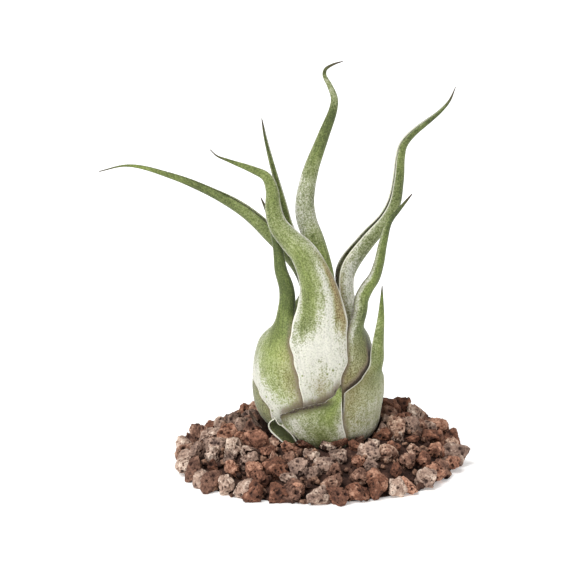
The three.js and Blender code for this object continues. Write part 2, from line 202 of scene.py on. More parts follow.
# %% The outline and its layers
BULB_OUTLINE = [
    (12.5, 7), (19.5, 10.5), (24.5, 15.5), (27.6, 22), (29.3, 30), (29.2, 38),
    (27.4, 47), (24.6, 56), (21, 65), (17.5, 74), (14.8, 83), (13, 92),
]  # radius and height
BULB_LEAN = -2.4
LEAN_START = (12, 26)  # heights between which the lean comes in
LEAN_END = (50, 70)  # and goes out again
LEAF_WALL = 0.7
GAP = 0.4
LAYER_PITCH = LEAF_WALL + GAP
HALVINGS = 30

outline = Route(even_curve([Vector(p) for p in BULB_OUTLINE]))


def lean_at(height):
    return BULB_LEAN * smooth_step(height, *LEAN_START) * (1 - smooth_step(height, *LEAN_END))


def outline_point(distance, depth):
    point, way = outline.at(distance), outline.direction(distance)
    return Vector((point.x - way.y * depth, point.y + way.x * depth))


def bulb_point(distance, azimuth, depth):
    radius, height = outline_point(distance, depth)
    angle = math.radians(azimuth)
    return Vector((lean_at(height) + radius * math.cos(angle), radius * math.sin(angle), height))


def distance_at_height(height):
    low, high = 0, outline.length
    for _ in range(HALVINGS):
        middle = (low + high) / 2
        low, high = (middle, high) if outline.at(middle).y < height else (low, middle)
    return low


print("the bulb's outline is", round(outline.length, 1), "mm long")

# %% [markdown]
# ## The leaves' measures
#
# A leaf is given by the layer its sheath lies in, the directions of the sheath's two edges at
# several heights (margins), and the middle line of its blade (path). The blade begins to leave the
# bulb at the height `release` and is free after the length `blend`. Its channel keeps its radius for
# the share `hold` of its length and then draws in to the tip, with `taper` as the power. The curl is
# half the angle that the channel spans, where it begins and where it is fully rolled. The numbers
# are those of the imported solids, so a finer leaf keeps their form.
#
# Rows of paint go with them. Each starts with a distance from the leaf's foot and goes on with
# values for even places from its left edge to its right edge: how thick the coat of silvery scales
# is (frost), how much tan tint lies under it (warmth), how bright the green is (lush), and how dark
# it is from stains and, on some leaves, from painted shade beside leaves that lie over it. A leaf
# may also say how shaded its inner side is (inner), how pale its edges are (edge), and at some
# distances how wide they are and what share of half the leaf they may take (rim).

# %% Leaf measures
ROLLED = (95, 140)
OPEN = (88, 104)
HALF_OPEN = (75, 112)
FLAT = (52, 80)

LEAVES = [
    dict(
        name="leaf_front_low", layer=0, azimuth=-74, curl=FLAT,
        margins=[
            (7, -102, -60), (17, -109, -65), (24, -118, -67), (27, -119, -68), (30.5, -107, -68.6),
            (32.4, -94, -69), (33.6, -82.5, -69), (36.8, -73.8, -69), (40, -71, -69.2),
        ],
        release=36.5, blend=3, radius=1.3, hold=0, taper=0.8,
        path=[(7.2, -26.7, 38.4), (7.7, -26.8, 40.4)],
        frost=[
            (6, 0.4, 0.5, 0.3, 0.55, 0.9), (14, 0.5, 0.55, 0.25, 0.6, 1.05),
            (20, 0.55, 0.75, 0.35, 0.55, 1.1), (25, 0.35, 0.9, 0.6, 0.25, 0.95),
            (29, 0.2, 0.5, 0.5, 0.15, 0.7), (33, 0.1, 0.3, 0.3, 0.2, 0.6),
            (38, 0.3, 0.35, 0.35, 0.3, 0.5),
        ],
        warmth=[
            (24, 0, 0, 0, 0, 0), (28, 0.6, 0.2, 0, 0, 0), (33, 0.8, 0.3, 0, 0, 0),
            (36, 0, 0, 0, 0, 0),
        ],
        lush=[(8, 0, 0, 0), (18, 0, 0.2, 0.1), (26, 0, 0.4, 0.4), (38, 0.6, 0.8, 0.6)],
        # These rows darken the arched upper edge: painted shade in the crease under the sheaths that bulge
        # over it, on a brown speckled band.
        stain_and_shade=[
            (22, 0, 0, 0, 0, 0, 0, 0, 0, 0), (25, 0.7, 0.3, 0, 0, 0, 0, 0, 0, 0),
            (28, 1, 0.7, 0.3, 0, 0, 0, 0, 0, 0), (30, 1, 1, 0.6, 0.3, 0.1, 0, 0, 0, 0),
            (31.5, 1, 1, 1, 0.7, 0.4, 0.1, 0, 0, 0), (32.8, 1, 1, 1, 1, 0.8, 0.4, 0, 0, 0),
            (34, 1, 1, 0.8, 0.5, 0.3, 0.1, 0, 0, 0), (35.5, 0.6, 0.2, 0, 0, 0, 0, 0, 0, 0),
            (37, 0, 0, 0, 0, 0, 0, 0, 0, 0),
        ],
    ),
    dict(
        name="leaf_right_low", layer=1, azimuth=-20, curl=HALF_OPEN,
        margins=[
            (7, -66, 20), (22, -67, 22), (36, -66, 18), (41, -52, 8), (46, -37, -4), (52, -33, -8),
        ],
        release=36, blend=12, radius=4.4, hold=0.05, taper=0.9,
        path=[
            (21.4, -8.4, 43), (22.4, -7.2, 52), (23.6, -6.4, 61), (24.1, -6, 68.5),
            (24.4, -6, 75.4),
        ],
        frost=[
            (6, 0.55, 0.85, 1), (16, 0.6, 0.8, 1), (26, 0.6, 0.7, 0.95), (34, 0.45, 0.55, 0.75),
            (40, 0.3, 0.35, 0.5), (46, 0.45, 0.3, 0.4), (60, 0.45, 0.2, 0.3), (75, 0.15, 0, 0.1),
        ],
        warmth=[
            (0, 0.3, 0.2, 0.1), (26, 0.5, 0.2, 0.1), (35, 0.6, 0.2, 0.1), (42, 0.4, 0, 0),
            (46, 0, 0, 0),
        ],
        lush=[
            (10, 0.8, 1, 0.8), (30, 0.7, 1, 0.7), (38, 0.2, 0.7, 0.5), (44, 0.3, 0.6, 0.3),
            (60, 0.4, 0.5, 0.3), (80, 0.2, 0.2, 0.1),
        ],
        # These rows darken its left side near its upper edge: painted shade cast by the sheath that lies
        # over it there.
        stain_and_shade=[
            (30, 0, 0, 0, 0, 0), (35, 0.3, 0.1, 0, 0, 0), (40, 0.5, 0.3, 0.1, 0, 0),
            (46, 0.4, 0.2, 0, 0, 0), (56, 0, 0, 0, 0, 0),
        ],
    ),
    dict(
        name="leaf_back_left_low", layer=1, azimuth=104, curl=FLAT,
        margins=[(7, 58, 140), (25, 60, 142), (34, 72, 136), (40, 84, 124), (46, 96, 112)],
        release=33, blend=12, radius=4, hold=0.05, taper=0.9,
        path=[(-8.8, 25.4, 41), (-10.5, 27, 48), (-10.5, 28.5, 56)],
        frost=[(6, 0.9, 0.85, 0.9), (18, 0.8, 0.6, 0.8), (30, 0.55, 0.3, 0.55), (60, 0.15, 0, 0.2)],
        lush=[(14, 0, 0.3, 0), (32, 0.4, 0.7, 0.4), (60, 0.3, 0.4, 0.3)],
    ),
    dict(
        name="leaf_front", layer=2, azimuth=-92, curl=OPEN,
        margins=[
            (9, -104, -72), (33, -100, -70), (42, -104, -67), (50, -110, -58), (58, -119, -57),
            (66, -126, -51), (76, -128, -44), (86, -130, -60),
        ],
        release=56, blend=30, radius=9.2, hold=0.02, taper=1.2,
        path=[
            (-0.6, -14.2, 68), (-1.4, -13, 76), (-3.4, -12, 83), (-7.1, -11.5, 90), (-12, -11, 95),
            (-16.6, -10.5, 100.4), (-18.8, -10, 107), (-19.4, -10, 115), (-21.6, -10, 120.2),
            (-26.4, -10, 122.8), (-36.5, -10, 126.6), (-40.8, -10, 128.4), (-43.5, -10, 131),
        ],
        rim=[(60, 1.2, 0.22), (76, 3.6, 0.5), (140, 3, 0.5), (190, 1.5, 0.3)],
        frost=[
            (20, 0.7, 0.8, 0.9, 0.9, 0.9, 0.9, 0.9, 0.8, 0.7),
            (33, 0.8, 0.9, 0.85, 0.75, 0.65, 0.75, 0.85, 0.85, 0.75),
            (41, 0.95, 1.05, 0.95, 0.8, 0.65, 0.75, 0.95, 1, 0.85),
            (50, 1, 1.15, 1.2, 1.15, 1.05, 1.15, 1.15, 1.05, 0.95),
            (55, 1, 1, 1.1, 1.25, 1.25, 1.2, 1.1, 1, 0.9),
            (60, 1, 0.75, 0.6, 0.9, 1.15, 1.15, 0.9, 0.6, 0.9),
            (64, 1, 0.65, 0.35, 0.55, 0.95, 1.1, 0.55, 0.35, 0.9),
            (69, 1, 0.75, 0.28, 0.3, 0.75, 1.05, 0.3, 0.2, 0.8),
            (77, 1.1, 0.9, 0.28, 0.2, 0.5, 1, 0.2, 0.15, 0.8),
            (84, 1.2, 1.1, 0.3, 0.18, 0.35, 0.9, 0.3, 0.25, 0.9),
            (92, 1.2, 1.1, 0.35, 0.22, 0.28, 0.5, 0.6, 0.9, 1.1),
            (106, 1.2, 1.1, 0.42, 0.34, 0.36, 0.4, 0.5, 1.1, 1.2),
            (120, 1.1, 1, 0.35, 0.28, 0.25, 0.28, 0.35, 0.9, 1.1),
            (135, 0.9, 0.8, 0.25, 0.15, 0.15, 0.15, 0.25, 0.7, 0.9),
            (160, 0.5, 0.5, 0.1, 0.05, 0.05, 0.05, 0.1, 0.4, 0.6),
            (190, 0.1, 0, 0, 0, 0, 0, 0, 0, 0.1),
        ],
        warmth=[
            (26, 0, 0, 0, 0, 0, 0, 0, 0, 0), (34, 0.1, 0.1, 0.2, 0.5, 0.6, 0.5, 0.3, 0.2, 0.1),
            (41, 0, 0.1, 0.3, 0.6, 0.9, 0.5, 0.2, 0.1, 0), (47, 0, 0, 0, 0, 0.2, 0, 0, 0, 0.1),
            (56, 0, 0, 0, 0, 0, 0, 0, 0.4, 0.6), (64, 0, 0, 0, 0, 0, 0, 0.5, 0.8, 0.8),
            (70, 0, 0, 0, 0, 0, 0, 0.8, 0.9, 0.8), (78, 0, 0, 0, 0, 0, 0.1, 0.9, 0.9, 0.7),
            (84, 0, 0, 0, 0, 0, 0, 0.8, 0.8, 0.5), (90, 0, 0, 0, 0, 0, 0, 0.3, 0.3, 0.1),
            (96, 0, 0, 0, 0, 0, 0, 0, 0, 0),
        ],
        lush=[(60, 0, 0.4, 0), (80, 0.2, 0.5, 0.3), (120, 0.2, 0.4, 0.3), (170, 0, 0, 0)],
        stain_and_shade=[
            (20, 0.25, 0.25, 0.25, 0.25, 0.3, 0.25, 0.25, 0.25, 0.3),
            (34, 0.2, 0.2, 0.2, 0.3, 0.35, 0.25, 0.2, 0.2, 0.3),
            (40, 0.1, 0.1, 0.15, 0.25, 0.35, 0.2, 0.12, 0.1, 0.2),
            (47, 0.05, 0.04, 0.05, 0.08, 0.1, 0.06, 0.05, 0.06, 0.15),
            (56, 0.03, 0, 0, 0, 0, 0, 0, 0.05, 0.2), (64, 0, 0, 0, 0, 0, 0, 0.05, 0.15, 0.2),
            (74, 0, 0, 0, 0, 0, 0, 0.12, 0.25, 0.1), (84, 0, 0, 0, 0, 0, 0, 0.05, 0.1, 0),
            (92, 0, 0, 0, 0, 0, 0, 0, 0, 0),
        ],
    ),
    dict(
        name="leaf_back_right_low", layer=2, azimuth=50, curl=FLAT,
        margins=[(9, -2, 100), (25, 0, 98), (34, 12, 88), (40, 28, 72), (46, 42, 58)],
        release=33, blend=11, radius=3.8, hold=0.05, taper=0.9,
        path=[(13.4, 19, 41), (14.4, 20.4, 46), (14, 21.6, 52)],
        frost=[(6, 0.8, 0.8, 0.9), (20, 0.7, 0.55, 0.8), (32, 0.5, 0.3, 0.5), (56, 0.15, 0, 0.2)],
        lush=[(14, 0, 0.2, 0), (32, 0.3, 0.6, 0.3), (56, 0.3, 0.4, 0.3)],
    ),
    dict(
        name="leaf_left", layer=3, azimuth=-140,
        margins=[
            (9, -136, -94), (27, -134, -92), (34, -148, -92), (40, -167, -94), (48, -179, -98),
            (58, -176, -108), (68, -164, -120),
        ],
        release=53, blend=17, radius=4.3, hold=0.02, taper=0.8,
        path=[
            (-14.4, -9, 63), (-13.3, -8, 69), (-13.7, -7.8, 75), (-15.8, -7, 82), (-17, -5, 90),
            (-18.6, -3, 96.6), (-20.7, -2, 103.3), (-23.8, -2, 110.4),
        ],
        frost=[
            (8, 0.95, 0.95, 1, 1, 0.95, 0.9, 0.85, 0.7, 0.6),
            (18, 1, 1, 1.05, 1, 0.95, 0.85, 0.8, 0.6, 0.5),
            (28, 1.05, 1.05, 1.05, 0.9, 0.75, 0.7, 0.6, 0.5, 0.4),
            (38, 1.1, 1.05, 0.95, 0.7, 0.5, 0.5, 0.5, 0.45, 0.4),
            (46, 1, 0.9, 0.75, 0.5, 0.4, 0.4, 0.4, 0.4, 0.35),
            (54, 0.75, 0.6, 0.5, 0.35, 0.25, 0.25, 0.3, 0.3, 0.3),
            (62, 0.5, 0.5, 0.6, 0.3, 0.1, 0.1, 0.15, 0.2, 0.3),
            (72, 0.4, 0.4, 0.6, 0.8, 0.08, 0.05, 0.08, 0.1, 0.3),
            (90, 0.4, 0.4, 0.6, 0.8, 0.08, 0.05, 0.05, 0.1, 0.3),
            (120, 0.1, 0.1, 0.2, 0.2, 0, 0, 0, 0, 0.1),
        ],
        warmth=[
            (10, 0, 0, 0, 0.6, 0.9), (34, 0, 0, 0, 0.5, 0.9), (50, 0, 0, 0, 0.3, 0.7),
            (60, 0, 0, 0, 0, 0),
        ],
        lush=[
            (14, 0, 0.5, 0.3), (30, 0.2, 0.8, 0.3), (50, 0.4, 0.9, 0.6), (60, 0.2, 0.4, 0.4),
            (72, 0.1, 0.1, 0), (110, 0, 0, 0),
        ],
        # These rows darken its right side beside the front leaf's edge, which lies over it: painted shade.
        stain_and_shade=[
            (10, 0, 0, 0, 0, 0, 0.1, 0.2, 0.35, 0.45), (40, 0, 0, 0, 0, 0, 0.05, 0.2, 0.35, 0.45),
            (52, 0, 0, 0, 0, 0, 0, 0.1, 0.25, 0.4), (62, 0, 0, 0, 0, 0, 0, 0, 0, 0),
        ],
    ),
    dict(
        name="leaf_right_short", layer=3, azimuth=-9,
        margins=[
            (9, -64, -4), (30, -68, 8), (46, -70, 10), (56, -66, 2), (66, -60, -14), (74, -56, -22),
        ],
        release=53, blend=17, radius=3.7, hold=0.15, taper=0.8,
        path=[
            (15.2, -9.4, 63), (15.7, -8.7, 70), (18, -8, 75), (20.9, -7, 79), (22.8, -6, 84.5),
            (24.6, -4.6, 93), (27, -3.2, 100.6), (30.4, -3, 105), (36, -3, 112),
        ],
        frost=[
            (20, 0.4, 0.4, 0.4, 0.4, 0.35, 0.3, 0.3, 0.3, 0.3),
            (40, 0.3, 0.3, 0.35, 0.35, 0.3, 0.3, 0.3, 0.3, 0.3),
            (52, 0.3, 0.35, 0.5, 0.35, 0.25, 0.25, 0.3, 0.4, 0.3),
            (60, 0.3, 0.5, 0.75, 0.3, 0.15, 0.2, 0.4, 0.4, 0.4),
            (68, 0.3, 0.8, 0.5, 0.12, 0.1, 0.35, 0.5, 0.4, 0.4),
            (80, 0.3, 0.9, 0.15, 0.05, 0.15, 0.5, 0.5, 0.4, 0.4),
            (92, 0.3, 0.6, 0.1, 0.05, 0.15, 0.5, 0.5, 0.3, 0.3),
            (115, 0.1, 0.1, 0.1, 0, 0, 0, 0, 0, 0.1),
        ],
        warmth=[(20, 0.5, 0.4, 0.2), (42, 0.5, 0.4, 0.2), (54, 0.4, 0.2, 0), (62, 0, 0, 0)],
        lush=[
            (30, 0, 0, 0.1), (56, 0, 0, 0.2), (66, 0, 0.2, 0.2), (76, 0.2, 0.4, 0.4),
            (90, 0.2, 0.4, 0.4), (110, 0, 0, 0),
        ],
        # These rows darken its left edge beside the front leaf's edge, which lies over it: painted shade.
        stain_and_shade=[
            (50, 0, 0, 0, 0, 0, 0, 0, 0, 0), (58, 0.6, 0.1, 0, 0, 0, 0, 0, 0, 0),
            (66, 1, 0.4, 0, 0, 0, 0, 0, 0, 0), (74, 1, 0.3, 0, 0, 0, 0, 0, 0, 0),
            (84, 1, 0.2, 0, 0, 0, 0, 0, 0, 0), (94, 0.4, 0, 0, 0, 0, 0, 0, 0, 0),
            (104, 0, 0, 0, 0, 0, 0, 0, 0, 0),
        ],
    ),
    dict(
        name="leaf_far_left", layer=4, azimuth=172,
        margins=[(10, 108, 232), (30, 110, 236), (44, 122, 224), (56, 140, 204), (66, 150, 196)],
        release=44, blend=22, radius=3.4, hold=0.45, taper=1.1,
        path=[
            (-9.2, 3.4, 62), (-4.9, 2.4, 71), (-7.5, 3, 80), (-17, 6, 91), (-30, 10, 102.4),
            (-44.3, 12, 110.2), (-60, 13, 116.4), (-77, 12, 120.7), (-88.6, 10, 118.6),
        ],
        inner=0.5, edge=0.5,
        frost=[
            (20, 0.4, 0.3, 0.4), (80, 0.4, 0.2, 0.3), (110, 0.45, 0.2, 0.25),
            (150, 0.35, 0.15, 0.2), (185, 0.1, 0, 0.1),
        ],
        warmth=[(0, 0.2, 0.2, 0.2), (40, 0.2, 0.2, 0.2), (60, 0, 0, 0)],
        lush=[(60, 0, 0, 0), (130, 0.1, 0.2, 0.2), (160, 0.2, 0.4, 0.3), (172, 0.4, 0.8, 0.6)],
    ),
    dict(
        name="leaf_right_long", layer=4, azimuth=15,
        margins=[
            (10, -46, 92), (30, -46, 90), (44, -48, 76), (56, -56, 58), (66, -66, 48),
            (78, -68, 42),
        ],
        release=48, blend=34, radius=4.3, hold=0.3, taper=0.9,
        path=[
            (11.2, 4.4, 62), (9.3, 4.8, 71), (10.2, 6, 79.5), (18.2, 8.5, 90.5), (26.2, 10, 99.6),
            (29.4, 10.6, 106), (31, 11, 115), (31.7, 11, 124), (33, 11, 129.2), (36.8, 11, 134),
            (47.4, 11, 142.6), (51.2, 11, 147), (53.6, 11, 152.6),
        ],
        inner=0.45,
        frost=[
            (40, 0.6, 0.6, 0.6, 0.6, 0.5), (62, 0.3, 0.85, 0.75, 0.4, 0.6),
            (76, 0.4, 0.95, 0.75, 0.4, 0.6), (84, 0.8, 0.9, 0.6, 0.4, 0.7),
            (94, 0.8, 0.5, 0.4, 0.3, 0.7), (104, 0.6, 0.35, 0.25, 0.2, 0.5),
            (116, 0.45, 0.25, 0.15, 0.15, 0.4), (140, 0.35, 0.15, 0.1, 0.1, 0.3),
            (190, 0.1, 0, 0, 0, 0.1),
        ],
        warmth=[
            (50, 0.7, 0.2, 0.1, 0.1, 0.3), (64, 1, 0.2, 0, 0.1, 0.5), (76, 0.9, 0.1, 0, 0, 0.6),
            (84, 0.4, 0, 0, 0, 0.5), (94, 0, 0, 0, 0, 0.2), (104, 0, 0, 0, 0, 0),
        ],
        lush=[(86, 0, 0, 0), (100, 0, 0.3, 0.1), (130, 0.1, 0.3, 0.1), (160, 0, 0, 0)],
        # These rows darken its left side beside the front leaf's edge, which lies over it, as painted shade,
        # and its right edge where the blade begins.
        stain_and_shade=[
            (50, 0, 0, 0, 0, 0), (60, 0.3, 0.1, 0, 0, 0), (70, 0.3, 0, 0, 0.1, 0.5),
            (80, 0, 0, 0, 0.2, 1), (86, 0, 0, 0, 0, 0.3), (96, 0, 0, 0, 0, 0.1),
            (110, 0, 0, 0, 0, 0),
        ],
    ),
    dict(
        name="leaf_tall", layer=6, azimuth=-60,
        margins=[(12, -108, -12), (30, -106, -14), (44, -96, -24), (56, -84, -36), (66, -80, -40)],
        release=40, blend=24, radius=4.1, hold=0.5, taper=0.9,
        path=[
            (4, -7.2, 58), (2.4, -2.6, 67), (1.8, 1, 75), (0.2, 3, 83), (-2.6, 4, 92),
            (-5.6, 5, 100), (-6.3, 5, 107), (-3.9, 5, 120), (0.9, 5, 133.4), (4.9, 5, 144.6),
            (5.3, 5, 149), (3.4, 5, 154), (1.3, 5.1, 158), (1.7, 5.3, 160.4), (4.6, 5.8, 162.2),
            (8.7, 6.5, 163.4),
        ],
        # The frost rows also rise at the left edge and halfway to the right edge, where the rolled blade's
        # outline shows from the front: there they are a painted highlight of sheen along the outline as well
        # as the scale coat.
        frost=[
            (60, 0.4, 0.4, 0.3, 0.25, 0.25, 0.25, 0.4, 0.4, 0.4),
            (80, 0.8, 0.6, 0.3, 0.2, 0.2, 0.25, 0.7, 0.5, 0.4),
            (92, 0.9, 0.8, 0.32, 0.22, 0.22, 0.28, 0.8, 0.6, 0.4),
            (99, 0.9, 0.9, 0.45, 0.35, 0.35, 0.4, 0.8, 0.6, 0.4),
            (105, 1, 1, 0.65, 0.6, 0.6, 0.6, 0.8, 0.6, 0.5),
            (112, 1, 1, 0.7, 0.65, 0.65, 0.65, 0.8, 0.6, 0.5),
            (122, 0.9, 0.9, 0.65, 0.6, 0.6, 0.6, 0.75, 0.5, 0.5),
            (128, 0.7, 0.7, 0.4, 0.36, 0.36, 0.38, 0.6, 0.4, 0.4),
            (136, 0.6, 0.6, 0.25, 0.18, 0.18, 0.2, 0.5, 0.4, 0.4),
            (150, 0.5, 0.5, 0.2, 0.1, 0.1, 0.15, 0.5, 0.3, 0.3),
            (157, 0.5, 0.5, 0.4, 0.4, 0.4, 0.4, 0.5, 0.4, 0.4),
            (166, 0.5, 0.5, 0.5, 0.45, 0.45, 0.45, 0.5, 0.5, 0.5),
            (172, 0.2, 0.2, 0.15, 0.1, 0.1, 0.1, 0.2, 0.2, 0.2),
            (180, 0.1, 0.1, 0, 0, 0, 0, 0, 0.1, 0.1),
        ],
        lush=[
            (76, 0.2, 0.4, 0.4), (92, 0.2, 0.5, 0.6), (102, 0.1, 0.3, 0.4), (112, 0, 0, 0.1),
            (130, 0.1, 0.3, 0.2), (155, 0.1, 0.1, 0.1),
        ],
    ),
    dict(
        name="leaf_back_thin", layer=6, azimuth=120, curl=FLAT,
        margins=[(13, 62, 178), (30, 66, 174), (44, 84, 156), (56, 98, 142), (66, 104, 136)],
        release=40, blend=24, radius=2.8, hold=0.3, taper=0.7,
        path=[
            (-7.2, 10.2, 60), (-4.6, 9, 70), (-6, 9.4, 80.5), (-9.2, 11.2, 89), (-12.6, 13, 96.5),
            (-14.6, 14, 104), (-19.2, 15, 120.3), (-21.9, 15, 131), (-23.5, 15, 139.3),
        ],
        inner=0.15,
        frost=[(60, 0.3, 0.2, 0.3), (100, 0.3, 0.15, 0.35), (150, 0.15, 0.05, 0.15)],
        lush=[(80, 0, 0.2, 0.2), (120, 0.2, 0.3, 0.3), (145, 0, 0, 0)],
    ),
]

print("nested leaves:", len(LEAVES))

# %% [markdown]
# ## Colours and nodes
#
# Colours are read off real things as sRGB hex values, and the renderer works in linear light, so
# one function turns the one into the other. A second one adds a node with its settings and links.
# A socket is named by its label or, where that is short or used twice, by its number: in a Map Range
# node 1 and 2 are the range that comes in, and 3 and 4 the range that it becomes.

# %% Colour and node helpers
def linear(colour):
    channels = [int(colour[i : i + 2], 16) / 255 for i in (1, 3, 5)]
    return (*(c / 12.92 if c <= 0.04045 else ((c + 0.055) / 1.055) ** 2.4 for c in channels), 1)


def add(tree, kind, inputs=None, ramp=(), **settings):
    """Adds a node. Inputs are values or other nodes' outputs, and a ramp is a row of (place, colour)."""
    node = tree.nodes.new("ShaderNode" + kind)
    for name, value in settings.items():
        setattr(node, name, value)
    for place, value in (inputs or {}).items():
        if isinstance(value, bpy.types.NodeSocket):
            tree.links.new(value, node.inputs[place])
        else:
            node.inputs[place].default_value = value
    for i, (place, colour) in enumerate(ramp):
        stops = node.color_ramp.elements
        stop = stops[i] if i < len(stops) else stops.new(place)
        stop.position, stop.color = place, linear(colour)
    return node


def new_material(name):
    made = bpy.data.materials.new(name)
    made.use_nodes = True
    return made, made.node_tree, made.node_tree.nodes["Principled BSDF"]


SHARE, FIRST, SECOND, MIXED = 0, 6, 7, 2  # sockets of a Mix node that mixes colours
print("a middle grey in linear light:", round(linear("#808080")[0], 3))

# %% [markdown]
# ## Patterns on the leaf
#
# The leaf is a green skin under a coat of water-catching scales. Each scale is a flat silver disc,
# about 0.4 mm wide on the real leaf and drawn at 0.6 mm, which is as fine as the picture shows.
# Scales lie in clumps and patches, and long streaks run up the leaf where water has run down, so
# noise of four sizes gives the grain. The streaks follow the leaf's own UV map, which a pattern
# through the whole room couldn't do on a blade that twists.

# %% Patterns on the leaf
SCALE_WIDTH = 0.0006
CLUMP_WIDTH = 0.0022
PATCH_WIDTH = 0.009
STREAKS_ACROSS = 14
STREAK_LENGTH = 0.012


def leaf_grain(tree, place):
    """Noise of four sizes: single scales, clumps, patches and long streaks."""
    strip = add(tree, "UVMap", uv_map="strip").outputs["UV"]
    along = {"Vector": strip, "Scale": (STREAKS_ACROSS, 1 / STREAK_LENGTH, 1)}
    stretched = add(tree, "Mapping", along).outputs["Vector"]
    kinds = (
        {"Vector": place, "Scale": 1 / SCALE_WIDTH, "Detail": 1.5, "Roughness": 0.5},
        {"Vector": place, "Scale": 1 / CLUMP_WIDTH, "Detail": 3, "Roughness": 0.6},
        {"Vector": place, "Scale": 1 / PATCH_WIDTH, "Detail": 3},
        {"Vector": stretched, "Scale": 1, "Detail": 4},
    )
    return [add(tree, "TexNoise", kind).outputs["Fac"] for kind in kinds]


print("scales are drawn", SCALE_WIDTH / MM, "mm wide")

# %% [markdown]
# ## Under the scales
#
# The skin itself is yellow-green where it grows and duller with age, with lighter and darker
# streaks. The inner side of the channel is shaded, and a sheath that has dried turns tan.

# %% Green skin
def green_skin(tree, grain, speckled, paint, colours):
    scales, _, patches, streaks = grain
    young, old, inner = colours
    uneven = add(tree, "MapRange", {"Value": patches, 1: 0.3, 2: 0.7, 3: 0.7, 4: 1.25}).outputs[0]
    streaked = add(tree, "MapRange", {"Value": streaks, 1: 0.3, 2: 0.7, 3: 0.78, 4: 1.18}).outputs[0]
    grown = add(tree, "ValToRGB", {"Fac": paint["age"]}, ramp=[(0.2, young), (0.75, old)]).outputs["Color"]
    lush = {SHARE: paint["lush"], FIRST: grown, SECOND: linear("#8b9a4e")}
    bright = add(tree, "Mix", lush, data_type="RGBA").outputs[MIXED]
    broad = add(tree, "Math", {0: uneven, 1: streaked}, operation="MULTIPLY").outputs[0]
    shade = add(tree, "Math", {0: broad, 1: speckled}, operation="MULTIPLY").outputs[0]
    green = add(tree, "HueSaturation", {"Color": bright, "Value": shade}).outputs[0]
    shaded = {SHARE: paint["inner"], FIRST: green, SECOND: linear(inner)}
    hollow = add(tree, "Mix", shaded, data_type="RGBA").outputs[MIXED]
    dryness = {0: paint["warmth"], 1: streaked}
    dried = add(tree, "Math", dryness, operation="MULTIPLY", use_clamp=True).outputs[0]
    tan = add(tree, "ValToRGB", {"Fac": scales}, ramp=[(0.35, "#76593a"), (0.6, "#bda577")]).outputs["Color"]
    tinted = {SHARE: dried, FIRST: hollow, SECOND: tan}
    return add(tree, "Mix", tinted, data_type="RGBA").outputs[MIXED]


# %% [markdown]
# ## The coat of scales
#
# Where scales lie close the leaf looks white, as on the sheaths, and where they are sparse the
# green shows through, as on the blades. The frost raises or lowers the grain, and all of the grain
# above a level is scales, so their speckles close up as on the real leaf. Here and there a spot
# has been rubbed bare: a few cells of a Voronoi pattern take the coat away.

# %% Scale coat
RUBBED_SPACING = 0.0024
RUBBED_FROM = 0.9  # only the cells whose own draw is above this are rubbed bare
GRAIN_WEIGHTS = (1.2, 0.55, 0.7, 0.35)


def scale_level(tree, grain, frost):
    """How high the grain stands with the frost's help."""
    height = 0
    for noise_there, weight in zip(grain, GRAIN_WEIGHTS):
        centred = add(tree, "Math", {0: noise_there, 1: 0.5}, operation="SUBTRACT").outputs[0]
        height = add(tree, "Math", {0: centred, 1: weight, 2: height}, operation="MULTIPLY_ADD").outputs[0]
    sparse = add(tree, "MapRange", {"Value": frost, 1: 0, 2: 0.6, 3: 0.35, 4: 1}).outputs[0]
    return add(tree, "Math", {0: height, 1: sparse, 2: frost}, operation="MULTIPLY_ADD").outputs[0]


def unrubbed(tree, place):
    """The share of the coat that is left, which is all of it but in a few small spots."""
    marks = add(tree, "TexVoronoi", {"Vector": place, "Scale": 1 / RUBBED_SPACING}).outputs
    draw = add(tree, "SeparateColor", {"Color": marks["Color"]}).outputs[0]
    spot = add(tree, "MapRange", {"Value": marks["Distance"], 1: 0.1, 2: 0.26, 3: 0.75, 4: 0}).outputs[0]
    few = add(tree, "Math", {0: draw, 1: RUBBED_FROM}, operation="GREATER_THAN").outputs[0]
    worn = add(tree, "Math", {0: spot, 1: few}, operation="MULTIPLY").outputs[0]
    return add(tree, "Math", {0: 1, 1: worn}, operation="SUBTRACT").outputs[0]


def scale_coat(tree, grain, level, place, skin_colour):
    scales, _, _, streaks = grain
    coat = add(tree, "MapRange", {"Value": level, 1: 0.1, 2: 1, 3: 0, 4: 0.92}).outputs[0]
    left = add(tree, "Math", {0: coat, 1: unrubbed(tree, place)}, operation="MULTIPLY").outputs[0]
    whites = [(0.15, "#a7ae70"), (0.5, "#c3c6a4"), (0.85, "#d9d8cc")]
    thick = add(tree, "ValToRGB", {"Fac": left}, ramp=whites).outputs["Color"]
    brushed = add(tree, "MapRange", {"Value": streaks, 1: 0.3, 2: 0.65, 3: 0.86, 4: 1.03}).outputs[0]
    powder = add(tree, "MapRange", {"Value": scales, 1: 0.35, 2: 0.6, 3: 0.84, 4: 1.06}).outputs[0]
    dusting = add(tree, "Math", {0: brushed, 1: powder}, operation="MULTIPLY").outputs[0]
    silver = add(tree, "HueSaturation", {"Color": thick, "Value": dusting}).outputs["Color"]
    coated = {SHARE: left, FIRST: skin_colour, SECOND: silver}
    return add(tree, "Mix", coated, data_type="RGBA").outputs[MIXED]
